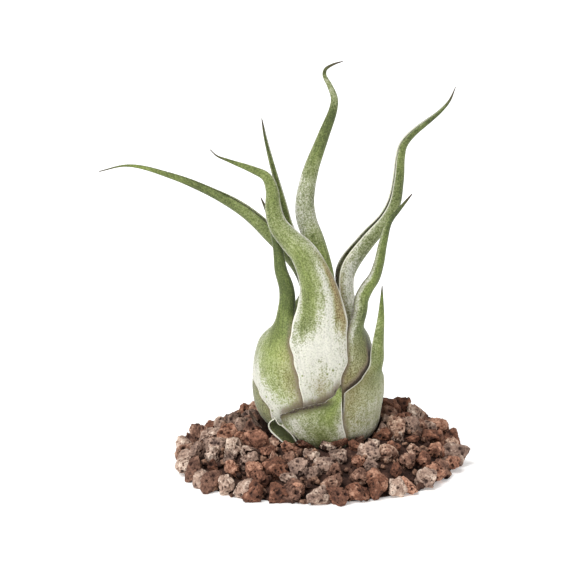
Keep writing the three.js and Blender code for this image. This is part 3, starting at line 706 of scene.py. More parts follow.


# %% [markdown]
# ## Edges, dirt, painted shade and tips
#
# The edges are thin dry membrane, paler than the rest. Beside an edge that lies over a leaf, dust
# and the shade that falls there are painted together, and right under the edge is a dark line of
# painted shade. Stains, with the shade painted on some leaves, go over that, and the tips have
# withered to brown.

# %% Edges, dirt, painted shade and tips
def weathered_and_shaded(tree, scales, speckled, paint, colour):
    """Each tint takes its share of the colour before it."""
    pale = add(tree, "MapRange", {"Value": paint["rim"], 1: 0.4, 2: 0.8, 3: 0, 4: 0.9}).outputs[0]
    # Near the edge of a leaf that lies over this one, the skin takes a brown tint of dust mixed with painted
    # shade, and a dark line of painted shade right under the edge.
    crevice_inputs = {0: scales, 1: 1.2, 2: paint["crevice"]}
    dust_and_shade = add(tree, "Math", crevice_inputs, operation="MULTIPLY_ADD").outputs[0]
    dusky_dust_and_shade = add(tree, "MapRange", {"Value": dust_and_shade, 1: 0.75, 2: 1.35, 3: 0, 4: 0.8}).outputs[0]
    crevice_shade_line = add(tree, "MapRange", {"Value": paint["crevice"], 1: 0.84, 2: 1, 3: 0, 4: 0.8}).outputs[0]
    stain_and_crevice_shade = {0: paint["stain_and_shade"], 1: speckled, 2: crevice_shade_line}
    dark = add(tree, "Math", stain_and_crevice_shade, operation="MULTIPLY_ADD", use_clamp=True).outputs[0]
    withered = add(tree, "MapRange", {"Value": paint["age"], 1: 0.94, 2: 0.99, 3: 0, 4: 0.95}).outputs[0]
    for share, tint in ((pale, "#eceadb"), (dusky_dust_and_shade, "#7d6c5a"), (dark, "#35291f"), (withered, "#3f2e20")):
        tinted = {SHARE: share, FIRST: colour, SECOND: linear(tint)}
        colour = add(tree, "Mix", tinted, data_type="RGBA").outputs[MIXED]
    return colour


# %% [markdown]
# ## Leaf skin
#
# The layers come together in one material, for which Blender's principled shader is enough. A leaf
# is dull, with a soft sheen from its scales, and a little light passes through its thin edges. The
# low leaves have a yellower green than the fresh ones, so the material is made twice.

# %% Leaf skin
PAINTS = ("frost", "warmth", "lush", "stain_and_shade", "age", "inner", "rim", "crevice")


def leaf_skin(name, *colours):
    """Living leaf: green skin, tan tint, white scale coat, pale edges and brown tips."""
    made, tree, skin = new_material(name)
    place = add(tree, "TexCoord").outputs["Object"]
    paint = {kind: add(tree, "Attribute", attribute_name=kind).outputs["Fac"] for kind in PAINTS}
    grain = leaf_grain(tree, place)
    speckled = add(tree, "MapRange", {"Value": grain[0], 1: 0.35, 2: 0.6, 3: 0.66, 4: 1.08}).outputs[0]
    bare = green_skin(tree, grain, speckled, paint, colours)
    level = scale_level(tree, grain, paint["frost"])
    coated = scale_coat(tree, grain, level, place, bare)
    colour = weathered_and_shaded(tree, grain[0], speckled, paint, coated)
    bump = add(tree, "Bump", {"Height": level, "Strength": 0.5, "Distance": 0.00025})
    tree.links.new(colour, skin.inputs["Base Color"])
    tree.links.new(bump.outputs["Normal"], skin.inputs["Normal"])
    skin.inputs["Roughness"].default_value = 0.6
    skin.inputs["Specular IOR Level"].default_value = 0.35
    skin.inputs["Sheen Weight"].default_value = 0.2
    skin.inputs["Sheen Roughness"].default_value = 0.45
    skin.inputs["Subsurface Weight"].default_value = 0.08
    skin.inputs["Subsurface Scale"].default_value = 0.001
    skin.inputs["Subsurface Radius"].default_value = (0.6, 1, 0.35)
    return made


fresh_skin = leaf_skin("leaf_epidermis_fresh", "#5f6d33", "#4f5c2b", "#3f4422")
low_skin = leaf_skin("leaf_epidermis_low", "#6f7340", "#5d6d34", "#393e20")
print("leaf skins:", fresh_skin.name, low_skin.name)

# %% [markdown]
# ## A flat slab
#
# A real leaf grows as a flat strip and then rolls up. It is made here in the same order. A flat
# grid becomes a slab with `solidify`, which gives it an outer side, an inner side and a rim all
# round, and every corner of the slab is later moved to its place on the plant. Rolling a ready-made
# strip keeps the two sides closed at the edges, which a surface drawn by hand seldom does. The slab
# also gets a layer for each paint, and a UV map that runs along the leaf for the streaks.

# %% A flat slab
EDGE_THINNING = 0.5
THINNING_POWER = 8


def slab(columns, rows, length):
    """A flat closed strip, 2 by 2, whose underside lies lower than its top, and its paint layers."""
    bm = bmesh.new()
    bmesh.ops.create_grid(bm, x_segments=columns, y_segments=rows, size=1)
    bmesh.ops.solidify(bm, geom=bm.faces[:], thickness=0.1)
    bmesh.ops.recalc_face_normals(bm, faces=bm.faces[:])
    paint = {kind: bm.verts.layers.float.new(kind) for kind in PAINTS}
    strip = bm.loops.layers.uv.new("strip")
    for face in bm.faces:
        for loop in face.loops:
            loop[strip].uv = (loop.vert.co.x, (loop.vert.co.y + 1) / 2 * length * MM)
    return bm, paint


def depth_in_wall(across, under):
    """How far a side lies under the leaf's outer face, where the wall thins towards its edges."""
    wall = LEAF_WALL * (1 - EDGE_THINNING * abs(across) ** THINNING_POWER)
    return (LEAF_WALL - wall) / 2 + (wall if under else 0)


print("the wall is", round(depth_in_wall(1, True) - depth_in_wall(1, False), 2), "mm thick at its edges")

# %% [markdown]
# ## The rolled blade
#
# A blade is a channel that follows its middle line. As on a real blade, its outer side keeps facing
# the same way as nearly as the bends let it, and doesn't turn about the line on its own. That is
# done by carrying one direction along the line and taking out what points along it.

# %% Blade frames
def blade_frames(route, facing, count):
    """The middle line of a blade with the direction that its outer side faces at each place."""
    frames = []
    outward = Vector(facing)
    for i in range(count + 1):
        way = route.direction(route.length * i / count)
        outward = (outward - way * outward.dot(way)).normalized()
        frames.append((route.at(route.length * i / count), outward, way.cross(outward)))
    return frames


def channel_point(frame_there, radius, half_angle, across):
    centre, outward, side = frame_there
    angle = math.radians(half_angle) * across
    return centre + outward * (radius * math.cos(angle)) + side * (radius * math.sin(angle))


# %% From the sheath to the tip
TIP_RADIUS = 0.22
INNER_ROLL = 0.2  # least radius of the inner side, as a share of the outer one
CURL_LENGTH = 0.35  # share of the blade that it takes to roll up
ROW_STEP = 1


def leaf_surface(leaf):
    """A function that gives a leaf's point for a distance from its foot and a place across it."""
    depth = leaf["layer"] * LAYER_PITCH
    release_at = distance_at_height(leaf["release"])
    azimuth = math.radians(leaf["azimuth"])
    facing = Vector((math.cos(azimuth), math.sin(azimuth), 0))
    middle = sum(between(leaf["margins"], leaf["release"], k) for k in (1, 2)) / 2
    start = bulb_point(release_at, middle, depth) - facing * leaf["radius"]
    route = Route(gentle_curve([start] + [Vector(p) for p in leaf["path"]]))
    count = math.ceil(route.length / ROW_STEP)
    frames = blade_frames(route, facing, count)
    curl = leaf.get("curl", ROLLED)

    def sheath(distance, across, sunk):
        height = outline.at(distance).y
        left, right = (between(leaf["margins"], height, k) for k in (1, 2))
        return bulb_point(distance, mix(left, right, (across + 1) / 2), depth + sunk)

    def blade(share, across, sunk):
        narrowing = min(1, (1 - share) / (1 - leaf["hold"])) ** leaf["taper"]
        outer = TIP_RADIUS + (leaf["radius"] - TIP_RADIUS) * narrowing
        inner = max(outer - sunk, outer * INNER_ROLL)
        here = share * count
        low = min(int(here), count - 1)
        near, far = frames[low], frames[low + 1]
        there = [a.lerp(b, here - low) for a, b in zip(near, far)]
        half_angle = mix(*curl, smooth_step(share, 0, CURL_LENGTH))
        return channel_point(there, inner if sunk else outer, half_angle, across)

    def surface(distance, across, sunk):
        if distance <= release_at:
            return sheath(distance, across, sunk)
        travelled = min(distance - release_at, route.length)
        turned = smooth_step(travelled, 0, leaf["blend"])
        return sheath(distance, across, sunk).lerp(blade(travelled / route.length, across, sunk), turned)

    return surface, release_at + route.length


surfaces = [leaf_surface(leaf) for leaf in LEAVES]
print("the leaves are", [round(length) for _, length in surfaces], "mm long")

# %% [markdown]
# ## Where dust gathers and shade falls
#
# Dust and old sap collect where one sheath's edge lies over another sheath, and shade falls there;
# both are painted from how near the edge is. So the edges of every leaf go into a search tree,
# which finds the nearest edge to a point fast. The height of the upper edge over the lower sheath
# is taken out, so only the distance beside the edge counts.

# %% Beside an edge
CREVICE_WIDTH = 3.2
EDGE_STEP = 0.5


def edge_tree(surface, length):
    """A search tree of the points along a leaf's two edges."""
    count = math.ceil(length / EDGE_STEP)
    tree = kdtree.KDTree(2 * (count + 1))
    for i in range(2 * (count + 1)):
        tree.insert(surface(length * (i // 2) / count, 2 * (i % 2) - 1, LEAF_WALL), i)
    tree.balance()
    return tree


edge_trees = [(leaf["layer"], edge_tree(*measures)) for leaf, measures in zip(LEAVES, surfaces)]


def beside_edge(point, layer):
    """How close a point of one sheath lies beside the edge of another that lies over it, 0 to 1."""
    nearest = CREVICE_WIDTH
    for upper, tree in edge_trees:
        if upper < layer:
            apart = tree.find(point)[2]
            below = (layer - upper) * LAYER_PITCH - LEAF_WALL
            nearest = min(nearest, math.sqrt(max(apart**2 - below**2, 0)))
    return 1 - nearest / CREVICE_WIDTH


print("search trees of edges:", len(edge_trees))

# %% [markdown]
# ## Painting a leaf
#
# Frost, tints, stains and painted shade change along a leaf and across it, and no noise knows where
# they belong. They are read off the rows of paint and kept on the mesh as attributes, which the
# material reads. The pale edge is measured on the rolled leaf, so it is as wide all along, but for a
# narrow tip.

# %% Paint
RIM_WIDTH = 1.2
PLAIN_RIM = [(0, RIM_WIDTH, 0.22)]  # distance, width, and the share of half the leaf that it may take
NO_PAINT = [(0, 0, 0, 0)]


def spread(rows, distance, across):
    """A value painted at even places across a leaf, from its left edge to its right edge."""
    last = len(rows[0]) - 2
    place = (across + 1) / 2 * last
    low = min(int(place), last - 1)
    left, right = (between(rows, distance, 1 + low + k) for k in (0, 1))
    return mix(left, right, smooth_step(place, low, low + 1))


def rim_there(leaf, surface, distance, side):
    """A leaf's edge at a distance, and how wide its pale rim is."""
    edge, centre = (surface(distance, across, LEAF_WALL / 2) for across in (side, 0))
    width, share = (between(leaf.get("rim", PLAIN_RIM), distance, k) for k in (1, 2))
    return edge, min(width, share * (edge - centre).length)


print("paint on a leaf:", ", ".join(PAINTS))

# %% [markdown]
# ## Rolling up the leaves
#
# Each corner of a slab now goes to its place on the leaf. Its side sinks by the wall's thickness, a
# slow noise makes the leaf fleshy, and its edges lift a little off the leaf below. More columns
# are drawn towards the edges, where the leaf bends most.

# %% Leaves
COLUMNS = 40
EDGE_CROWDING = 1.25
EDGE_LIFT = 0.15
EDGE_LIFT_POWER = 12
FLESH_WAVE = 0.16
WAVES_ACROSS = 1.6
WAVE_LENGTH = 11
WAVE_SINK = 0.3  # share of the wave that the leaf sinks, so that its crests stay low
WAVE_SHIFT = (7.3, 3.1, 0)  # from one leaf's noise to the next one's
INNER_SHADE = 0.8


def make_leaf(leaf, number, surface, length):
    bm, paint = slab(COLUMNS, math.ceil(length / ROW_STEP), length)
    shift = Vector([number * step for step in WAVE_SHIFT])
    rims = {}
    for vert in bm.verts:
        across, distance = vert.co.x, (vert.co.y + 1) / 2 * length
        under = vert.co.z < 0
        for kind in ("frost", "warmth", "lush", "stain_and_shade"):
            vert[paint[kind]] = spread(leaf.get(kind, NO_PAINT), distance, across)
        vert[paint["age"]] = distance / length
        vert[paint["inner"]] = leaf.get("inner", INNER_SHADE) if under else 0

        along = Vector((across * WAVES_ACROSS, distance / WAVE_LENGTH, 0))
        wave = FLESH_WAVE * noise.noise(along + shift)
        raised = EDGE_LIFT * abs(across) ** EDGE_LIFT_POWER
        sunk = depth_in_wall(across, under) + wave + FLESH_WAVE * WAVE_SINK - raised
        place = math.copysign(1 - (1 - abs(across)) ** EDGE_CROWDING, across)
        vert.co = surface(distance, place, sunk)

        # How near the edge of a leaf that lies over this one: the skin paints dust and shade there.
        vert[paint["crevice"]] = 0 if under else beside_edge(vert.co, leaf["layer"])
        side = 1 if across > 0 else -1
        here = (round(distance, 3), side)
        if here not in rims:
            rims[here] = rim_there(leaf, surface, distance, side)
        edge, width = rims[here]
        vert[paint["rim"]] = leaf.get("edge", 1) * max(0, 1 - (vert.co - edge).length / width)
        vert.co *= MM
    return bm


def piece(bm, name, node, body="root"):
    """Turns a finished bmesh into an object that rides on the plant and replaces its plain solid."""
    mesh = bpy.data.meshes.new(name)
    bmesh.ops.recalc_face_normals(bm, faces=bm.faces[:])
    if bm.calc_volume(signed=True) < 0:
        bmesh.ops.reverse_faces(bm, faces=bm.faces[:])
    for face in bm.faces:
        face.smooth = True
    bm.to_mesh(mesh)
    bm.free()
    made = bpy.data.objects.new(name, mesh)
    bpy.context.scene.collection.objects.link(made)
    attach(made, body)
    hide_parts(node)
    return made


leaf_faces = 0
for number, (leaf, measures) in enumerate(zip(LEAVES, surfaces)):
    name = leaf["name"]
    made = piece(make_leaf(leaf, number, *measures), name + "_skin", name)
    made.data.materials.append(low_skin if name.endswith("low") else fresh_skin)
    leaf_faces += len(made.data.polygons)
print("faces in the leaves:", leaf_faces)

# %% [markdown]
# ## The small bent leaf
#
# Low on the left a short leaf has bent back, so that its hollow inner side faces out. It is the
# same kind of slab as the others, laid along its own short line.

# %% Small leaf
SMALL_PATH = [(-10.4, -22.6, 13.6), (-14.6, -23.4, 18), (-18.4, -23.2, 22), (-18, -24.6, 26.4)]
SMALL_WIDTHS = [(0, 0.7), (1 / 3, 1), (2 / 3, 1), (1, 0.12)]  # share of the way, share of the radius
SMALL_FACING = (0.57, 0.82, -0.1)
SMALL_RADIUS = 3.4
SMALL_CURL = 80
SMALL_ARC = 1.4  # the same angle in radians, for the width of the pale rim
SMALL_LEAST = 0.1  # least radius of the inner side
SMALL_COLUMNS = 20
SMALL_ROWS = 26
SMALL_FROST = (0.05, 0.4, 3)  # in the middle, more at the edges, and the power that it grows with
SMALL_AGE = (0.3, 0.7)

small_route = Route(gentle_curve([Vector(p) for p in SMALL_PATH]))
small_frames = blade_frames(small_route, Vector(SMALL_FACING), SMALL_ROWS)
bm, paint = slab(SMALL_COLUMNS, SMALL_ROWS, small_route.length)
for vert in bm.verts:
    across, share = vert.co.x, (vert.co.y + 1) / 2
    under = vert.co.z < 0
    vert[paint["frost"]] = SMALL_FROST[0] + SMALL_FROST[1] * abs(across) ** SMALL_FROST[2]
    vert[paint["age"]] = mix(*SMALL_AGE, share)
    vert[paint["inner"]] = INNER_SHADE if under else 0
    vert[paint["rim"]] = max(0, 1 - (1 - abs(across)) * SMALL_RADIUS * SMALL_ARC / RIM_WIDTH)
    radius = SMALL_RADIUS * between(SMALL_WIDTHS, share, 1) - depth_in_wall(across, under)
    there = small_frames[round(share * SMALL_ROWS)]
    vert.co = channel_point(there, max(radius, SMALL_LEAST), SMALL_CURL, across) * MM
small_leaf = piece(bm, "leaf_small_front_skin", "leaf_small_front")
small_leaf.data.materials.append(low_skin)
print("the small leaf is", round(small_route.length, 1), "mm long")

# %% [markdown]
# ## The stem
#
# The stem hides inside the bulb. Its plain solid has the right shape, so it stays and only gets a
# material: pale woody tissue, ringed by the scars of old leaves. A wave texture draws the rings.

# %% Stem material
SCAR_SPACING = 0.0012
WAVE_BAND = 0.314  # spacing of a wave texture's bands at scale 1

stem_wood, tree, wood = new_material("stem_woody_tissue")
place = add(tree, "TexCoord").outputs["Object"]
rings = add(
    tree, "TexWave", {"Vector": place, "Scale": WAVE_BAND / SCAR_SPACING, "Distortion": 2, "Detail": 2},
    bands_direction="Z",
)
bark = add(tree, "ValToRGB", {"Fac": rings.outputs["Fac"]}, ramp=[(0.2, "#6d6045"), (0.8, "#a39a76")])
tree.links.new(bark.outputs["Color"], wood.inputs["Base Color"])
wood.inputs["Roughness"].default_value = 0.8
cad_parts["stem"].data.materials.clear()
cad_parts["stem"].data.materials.append(stem_wood)
print("the stem keeps its solid and gets", stem_wood.name)

# %% [markdown]
# ## Where the stones lie
#
# The heap is a round mound of crushed lava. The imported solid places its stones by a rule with
# seeded draws: one ring at the rim, and the rest on a sunflower's spiral. The same rule and the
# same draws here put a finer stone in each place.

# %% The heap's form
HEAP_RADIUS = 55.2  # centres of the outermost stones
HEAP_SKEW = 0.035
HEAP_DEPTH = 0.96  # share of that radius along Y
HEAP_HEIGHT = 17.5
HEAP_TILT = (0.03, 0.4)  # the heap is this share higher at its right and at its back
HEAP_REACH = 60.5  # radius where the slope would meet the floor
HEAP_SLOPE = 3.2  # power of the slope: flat inside, steep at the rim


def heap_place(distance, angle):
    """A place on the floor: the heap is a little wider from front left to back right."""
    x, y = distance * math.cos(angle), distance * math.sin(angle)
    return x + HEAP_SKEW * y, HEAP_DEPTH * (y + HEAP_SKEW * x)


def heap_height(distance, x, y):
    slope = 1 - (distance / HEAP_REACH) ** HEAP_SLOPE
    return HEAP_HEIGHT * slope * (1 + (HEAP_TILT[0] * x + HEAP_TILT[1] * y) / HEAP_REACH)


print("the heap is", round(heap_height(0, 0, 0), 1), "mm high in its middle")

# %% Places of the stones
RIM_STONES = 44
INNER_STONES = 116
SPIRAL_RADII = (21, 51)
STONE_HALF = (3.3, 6.3)  # half lengths of the smallest and the largest stone
RIM_STONE_HALF = (4, 5.6)
STONE_FLATNESS = (0.62, 0.95)
STONE_SCATTER = 3  # how far a stone lies off its even place
GOLDEN_ANGLE = math.pi * (3 - math.sqrt(5))
PLACE_SEED = 2026
DRAW_FACTOR, DRAW_STEP, DRAW_RANGE = 1664525, 1013904223, 2**32


def even_draws(state):
    """Even draws from 0 to 1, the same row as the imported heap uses."""
    while True:
        state = (state * DRAW_FACTOR + DRAW_STEP) % DRAW_RANGE
        yield state / DRAW_RANGE


def stone_places():
    """Where each stone lies, how long it is on its three axes and how it is turned."""
    draws = even_draws(PLACE_SEED)
    for i in range(RIM_STONES + INNER_STONES):
        on_rim = i < RIM_STONES
        share = (i - RIM_STONES + 0.5) / INNER_STONES
        even = HEAP_RADIUS if on_rim else math.sqrt(mix(SPIRAL_RADII[0] ** 2, SPIRAL_RADII[1] ** 2, share))
        even_x, even_y = heap_place(even, i * (2 * math.pi / RIM_STONES if on_rim else GOLDEN_ANGLE))
        x = even_x + STONE_SCATTER * (next(draws) - 0.5)
        y = even_y + STONE_SCATTER * (next(draws) - 0.5)
        half = mix(*RIM_STONE_HALF, next(draws)) if on_rim else mix(*STONE_HALF, next(draws) ** 2)
        size = Vector((1, mix(*STONE_FLATNESS, next(draws)), mix(*STONE_FLATNESS, next(draws)))) * half
        turn = Euler([2 * math.pi * next(draws) for _ in range(3)], "ZYX").to_matrix()
        height = max(heap_height(even, x, y), half * STONE_FLATNESS[0])
        yield Vector((x, y, height)), size, turn


places = list(stone_places())
print("stones:", len(places))

# %% [markdown]
# ## Lava stones
#
# Lava rock is frozen foam: a broken block, full of round pores that its breaks have cut open. Each
# stone starts as an icosphere. Flat cuts in random directions break it to a block, ridged noise
# makes its breaks craggy, and pits are pressed in where the cells of a Voronoi pattern have their
# middles. How deep a point lies in a pit, and how high on a ridge, is kept as an attribute, so that
# the rock can be painted dark there as shade and lighter on the ridges as a highlight.

# %% A broken block
CUTS = 8
CUT_AT = (0.55, 0.9)  # distances of the cuts from the middle
CUT_DEPTH = 0.93  # share of what lies past a cut that it takes off
BLOCK_RADIUS = 1.12
BLOCK_SWELL = 0.36
BLOCK_SWELL_RATE = 1.3
BLOCK_SHIFT = 50  # how far one block's noise may lie from another's


def broken_block(bm, rng, detail):
    """Adds a unit block with blunt corners and returns its vertices."""
    verts = bmesh.ops.create_icosphere(bm, subdivisions=detail, radius=1)["verts"]
    cuts = []
    for _ in range(CUTS):
        way = Vector([rng.gauss(0, 1) for _ in range(3)]).normalized()
        cuts.append((way, rng.uniform(*CUT_AT)))
    shift = Vector([rng.uniform(-BLOCK_SHIFT, BLOCK_SHIFT) for _ in range(3)])
    for vert in verts:
        swell = noise.noise(vert.co * BLOCK_SWELL_RATE + shift)
        p = vert.co * (BLOCK_RADIUS + BLOCK_SWELL * swell)
        for way, limit in cuts:
            over = p.dot(way) - limit
            if over > 0:
                p = p - way * over * CUT_DEPTH
        vert.co = p
    return verts


# %% Pores
PORES = [(2.6, 1.1, 0.35), (1.35, 0.75, 0.15)]  # cell, depth, and share of the cells that hold none
PORE_FLOOR = (0.1, 0.12)  # radius of the narrowest pore's flat floor, and what the widest adds to it
PORE_MOUTH = (0.3, 0.2)  # the same for the mouth, both as shares of the cell
PORE_DRAW = 7  # turns a pore's middle into a place to draw its width from


def pore(point, cell, depth, empty):
    """How deep a pore cuts in at a point, where some of the cells hold none."""
    distances, centres = noise.voronoi(point / cell)
    wide = noise.cell(centres[0] * PORE_DRAW)
    if wide < empty:
        return 0
    floor, mouth = (least + more * wide for least, more in (PORE_FLOOR, PORE_MOUTH))
    return depth * (1 - smooth_step(distances[0], floor, mouth))


print("pores are up to", [round(2 * cell * sum(PORE_MOUTH), 1) for cell, _, _ in PORES], "mm wide")

# %% [markdown]
# ## Stones beside the bulb
#
# The bulb stands in the heap, and no stone may reach into it. Where a stone would, its points are
# pushed back sideways until they clear the bulb's round outline, which presses a seat into the heap.

# %% The bulb's seat
SEAT_GAP = 0.45
SEAT_FOOT = 8  # heights between which the bulb pushes stones back
SEAT_TOP = 60
NEAR_BULB = 36
bulb_radii = [0] * SEAT_FOOT
bulb_radii += [outline.at(distance_at_height(z)).x for z in range(SEAT_FOOT, SEAT_TOP)]


def bulb_radius(height):
    low = min(max(int(height), 0), len(bulb_radii) - 2)
    return mix(bulb_radii[low], bulb_radii[low + 1], min(height - low, 1))


def cleared(p):
    """The same point, pushed sideways out of the bulb."""
    room = bulb_radius(p.z) + SEAT_GAP
    sideways = Vector((p.x - lean_at(p.z), p.y))
    if room > 2 * SEAT_GAP and sideways.length < room:
        sideways *= room / sideways.length
        p.x, p.y = sideways.x + lean_at(p.z), sideways.y
    return p


print("the bulb is", round(2 * max(bulb_radii), 1), "mm wide")

# %% One lava stone
STONE_DETAIL = 5
CRAG_WIDTH = 3.4
CRAG_HEIGHT = 0.45
CRAG_FRACTAL = (1, 2.1, 3, 1, 2)  # fading, narrowing, octaves, offset and gain of the ridged noise
LUMP_WIDTH = 0.9
LUMP_HEIGHT = 0.3
SKIN_SHIFT = 90  # how far one stone's noise may lie from another's
PIT_GAIN = 1.2
RIDGE_GAIN = 0.35
PIT_LEAST = -0.5


def add_stone(bm, rng, centre, size, turn, pit, detail=STONE_DETAIL):
    verts = broken_block(bm, rng, detail)
    shift = Vector([rng.uniform(-SKIN_SHIFT, SKIN_SHIFT) for _ in range(3)])
    beside_bulb = math.hypot(centre.x, centre.y) < NEAR_BULB
    for vert in verts:
        way = (turn @ vert.co).normalized()
        p = centre + turn @ (vert.co * size)
        there = p + shift
        crag = noise.ridged_multi_fractal(there / CRAG_WIDTH, *CRAG_FRACTAL) - 1
        deep = max(pore(there, *kind) for kind in PORES)
        rough = CRAG_HEIGHT * crag + LUMP_HEIGHT * noise.noise(there / LUMP_WIDTH)
        p += way * (rough - deep)
        if beside_bulb:
            p = cleared(p)
        p.z = max(p.z, 0)
        # The pit value is high down in pores and below zero on ridges; the rock's material paints shade and
        # highlight from it.
        vert[pit] = min(max(deep * PIT_GAIN - crag * RIDGE_GAIN, PIT_LEAST), 1)
        vert.co = p * MM
    return verts


# %% [markdown]
# ## Lava rock
#
# Scoria is dull all over. Its iron has rusted by more or less, so stones are brown, grey, red or
# pale. Their breaks are painted lighter on their ridges, a painted highlight, and almost black down
# in the pores, which is painted shade. Pores too fine for the mesh are a Voronoi pattern in the
# material, painted dark as shade, with grit between them.

# %% Stone materials
PORE_WIDTH = 0.0012
GRIT_WIDTH = 0.0006
BLOTCH_WIDTH = 0.0035


def lava(name, dark, middle, light):
    """Scoria: dull frozen foam, with painted shade in its pores and a painted highlight on its ridges."""
    made, tree, rock = new_material(name)
    place = add(tree, "TexCoord").outputs["Object"]
    tone = add(tree, "Attribute", attribute_name="tone").outputs["Fac"]
    pit = add(tree, "Attribute", attribute_name="pit").outputs["Fac"]
    blotches = {"Vector": place, "Scale": 1 / BLOTCH_WIDTH, "Detail": 6, "Roughness": 0.7}
    blotches = add(tree, "TexNoise", blotches).outputs["Fac"]
    grit = add(tree, "TexNoise", {"Vector": place, "Scale": 1 / GRIT_WIDTH, "Detail": 2}).outputs["Fac"]
    pores = add(tree, "TexVoronoi", {"Vector": place, "Scale": 1 / PORE_WIDTH}).outputs["Distance"]
    # Pores too fine for the mesh are painted dark: painted shade.
    whole = add(tree, "MapRange", {"Value": pores, 1: 0.12, 2: 0.4, 3: 0.4}).outputs[0]
    mottled = add(tree, "Math", {0: blotches, 1: 1.5, 2: tone}, operation="MULTIPLY_ADD").outputs[0]
    # The pit value lowers the tone in pits and raises it on ridges: painted shade and painted highlight.
    raised = add(tree, "Math", {0: pit, 1: -0.35, 2: mottled}, operation="MULTIPLY_ADD").outputs[0]
    broken = [(0.4, dark), (0.75, middle), (1, light)]
    body = add(tree, "ValToRGB", {"Fac": raised}, ramp=broken).outputs["Color"]
    # Down in the pores the rock is painted nearly black: painted shade.
    deep = add(tree, "MapRange", {"Value": pit, 1: 0.25, 2: 0.9, 3: 0, 4: 0.65}).outputs[0]
    pore_shaded = {SHARE: deep, FIRST: body, SECOND: linear("#2a1a15")}
    pore_shaded = add(tree, "Mix", pore_shaded, data_type="RGBA").outputs[MIXED]
    fine_pores_shaded = {SHARE: whole, FIRST: linear("#3a261e"), SECOND: pore_shaded}
    fine_pores_shaded = add(tree, "Mix", fine_pores_shaded, data_type="RGBA").outputs[MIXED]
    dusted = add(tree, "MapRange", {"Value": grit, 1: 0.3, 2: 0.7, 3: 0.75, 4: 1.3}).outputs[0]
    dusty = add(tree, "HueSaturation", {"Color": fine_pores_shaded, "Value": dusted}).outputs[0]
    height = add(tree, "Math", {0: whole, 1: grit}, operation="ADD").outputs[0]
    bump = add(tree, "Bump", {"Height": height, "Strength": 0.9, "Distance": 0.00025})
    tree.links.new(dusty, rock.inputs["Base Color"])
    tree.links.new(bump.outputs["Normal"], rock.inputs["Normal"])
    rock.inputs["Roughness"].default_value = 0.92
    rock.inputs["Specular IOR Level"].default_value = 0.25
    return made


STONE_KINDS = {
    "gravel_brown": (39, lava("scoria_brown", "#4a332b", "#8b6857", "#d2b39d")),
    "gravel_grey": (37, lava("scoria_grey", "#50403a", "#947a6c", "#d8c3b1")),
    "gravel_red": (32, lava("scoria_red", "#422c24", "#7f5542", "#bd927b")),
    "gravel_rust": (28, lava("scoria_rust", "#462d25", "#8a604d", "#cf9f85")),
    "gravel_pale": (24, lava("scoria_pale", "#64514a", "#a78c7c", "#dcc7b6")),
}
# Grit rock is darker than the stones: painted shade for the gaps it fills.
shaded_grit_rock = lava("scoria_grit_shaded", "#261915", "#533a30", "#94735f")
print("kinds of stone:", {kind: number for kind, (number, _) in STONE_KINDS.items()})

# %% [markdown]
# ## Heaping up the stones
#
# The stones go into one mesh for each colour of lava, because a heap of a hundred and sixty loose
# objects would be awkward to handle. The colours are dealt out like cards, so each has its number
# of stones.

# %% The heap of stones
STONE_SEED = 12
STONE_TONES = (-0.2, 0.12)
rng = random.Random(STONE_SEED)
deal = [kind for kind, (number, _) in STONE_KINDS.items() for _ in range(number)]
rng.shuffle(deal)
meshes = {kind: bmesh.new() for kind in STONE_KINDS}
tones = {kind: bm.verts.layers.float.new("tone") for kind, bm in meshes.items()}
pits = {kind: bm.verts.layers.float.new("pit") for kind, bm in meshes.items()}
for kind, (centre, size, turn) in zip(deal, places):
    tone = rng.uniform(*STONE_TONES)
    for vert in add_stone(meshes[kind], rng, centre, size, turn, pits[kind]):
        vert[tones[kind]] = tone
for kind, bm in meshes.items():
    made = piece(bm, kind, "gravel")
    made.data.materials.append(STONE_KINDS[kind][1])
    print(kind, "has", len(made.data.polygons), "faces")

# %% [markdown]
# ## The imported middle and the grit
#
# Under the stones that show lies more gravel, and fine grit fills the gaps. A turned mound with an
# uneven skin stands for the imported middle, with grit strewn over it: plain blocks with few faces.
# Both are coloured darker than the stones, as painted shade in the gaps between them.

# %% Packed middle
CORE_RADIUS = 54.4
CORE_SINK = (0.4, 4)  # how far it lies under the stones' centres, inside and at the rim
CORE_SINK_POWER = 6
CORE_EDGE = 0.8  # least height of its even skin
CORE_SPOKES = 144
CORE_STEPS = 40
CORE_DIP = 0.5  # how far the uneven skin lies lower than the even one
CORE_ROUGHNESS = 1.1
CORE_LUMP = 2.2  # width of its lumps
CORE_LEAST = 0.3  # least height of the uneven skin
# The mound's tone is lowered further as painted shade under the stones.
CORE_SHADE_TONE = -0.2
SEAT_SHOULDER = 7.5  # the seat under the bulb is at least as wide as the bulb is here
SEAT_HEIGHT = 6
DOUBLES = 0.001


def core_height(x, y):
    side_y = y / HEAP_DEPTH
    even_x = (x - HEAP_SKEW * side_y) / (1 - HEAP_SKEW**2)
    even_y = (side_y - HEAP_SKEW * x) / (1 - HEAP_SKEW**2)
    distance = math.hypot(even_x, even_y)
    sink = mix(*CORE_SINK, (distance / CORE_RADIUS) ** CORE_SINK_POWER)
    return max(heap_height(distance, x, y) - sink, CORE_EDGE)


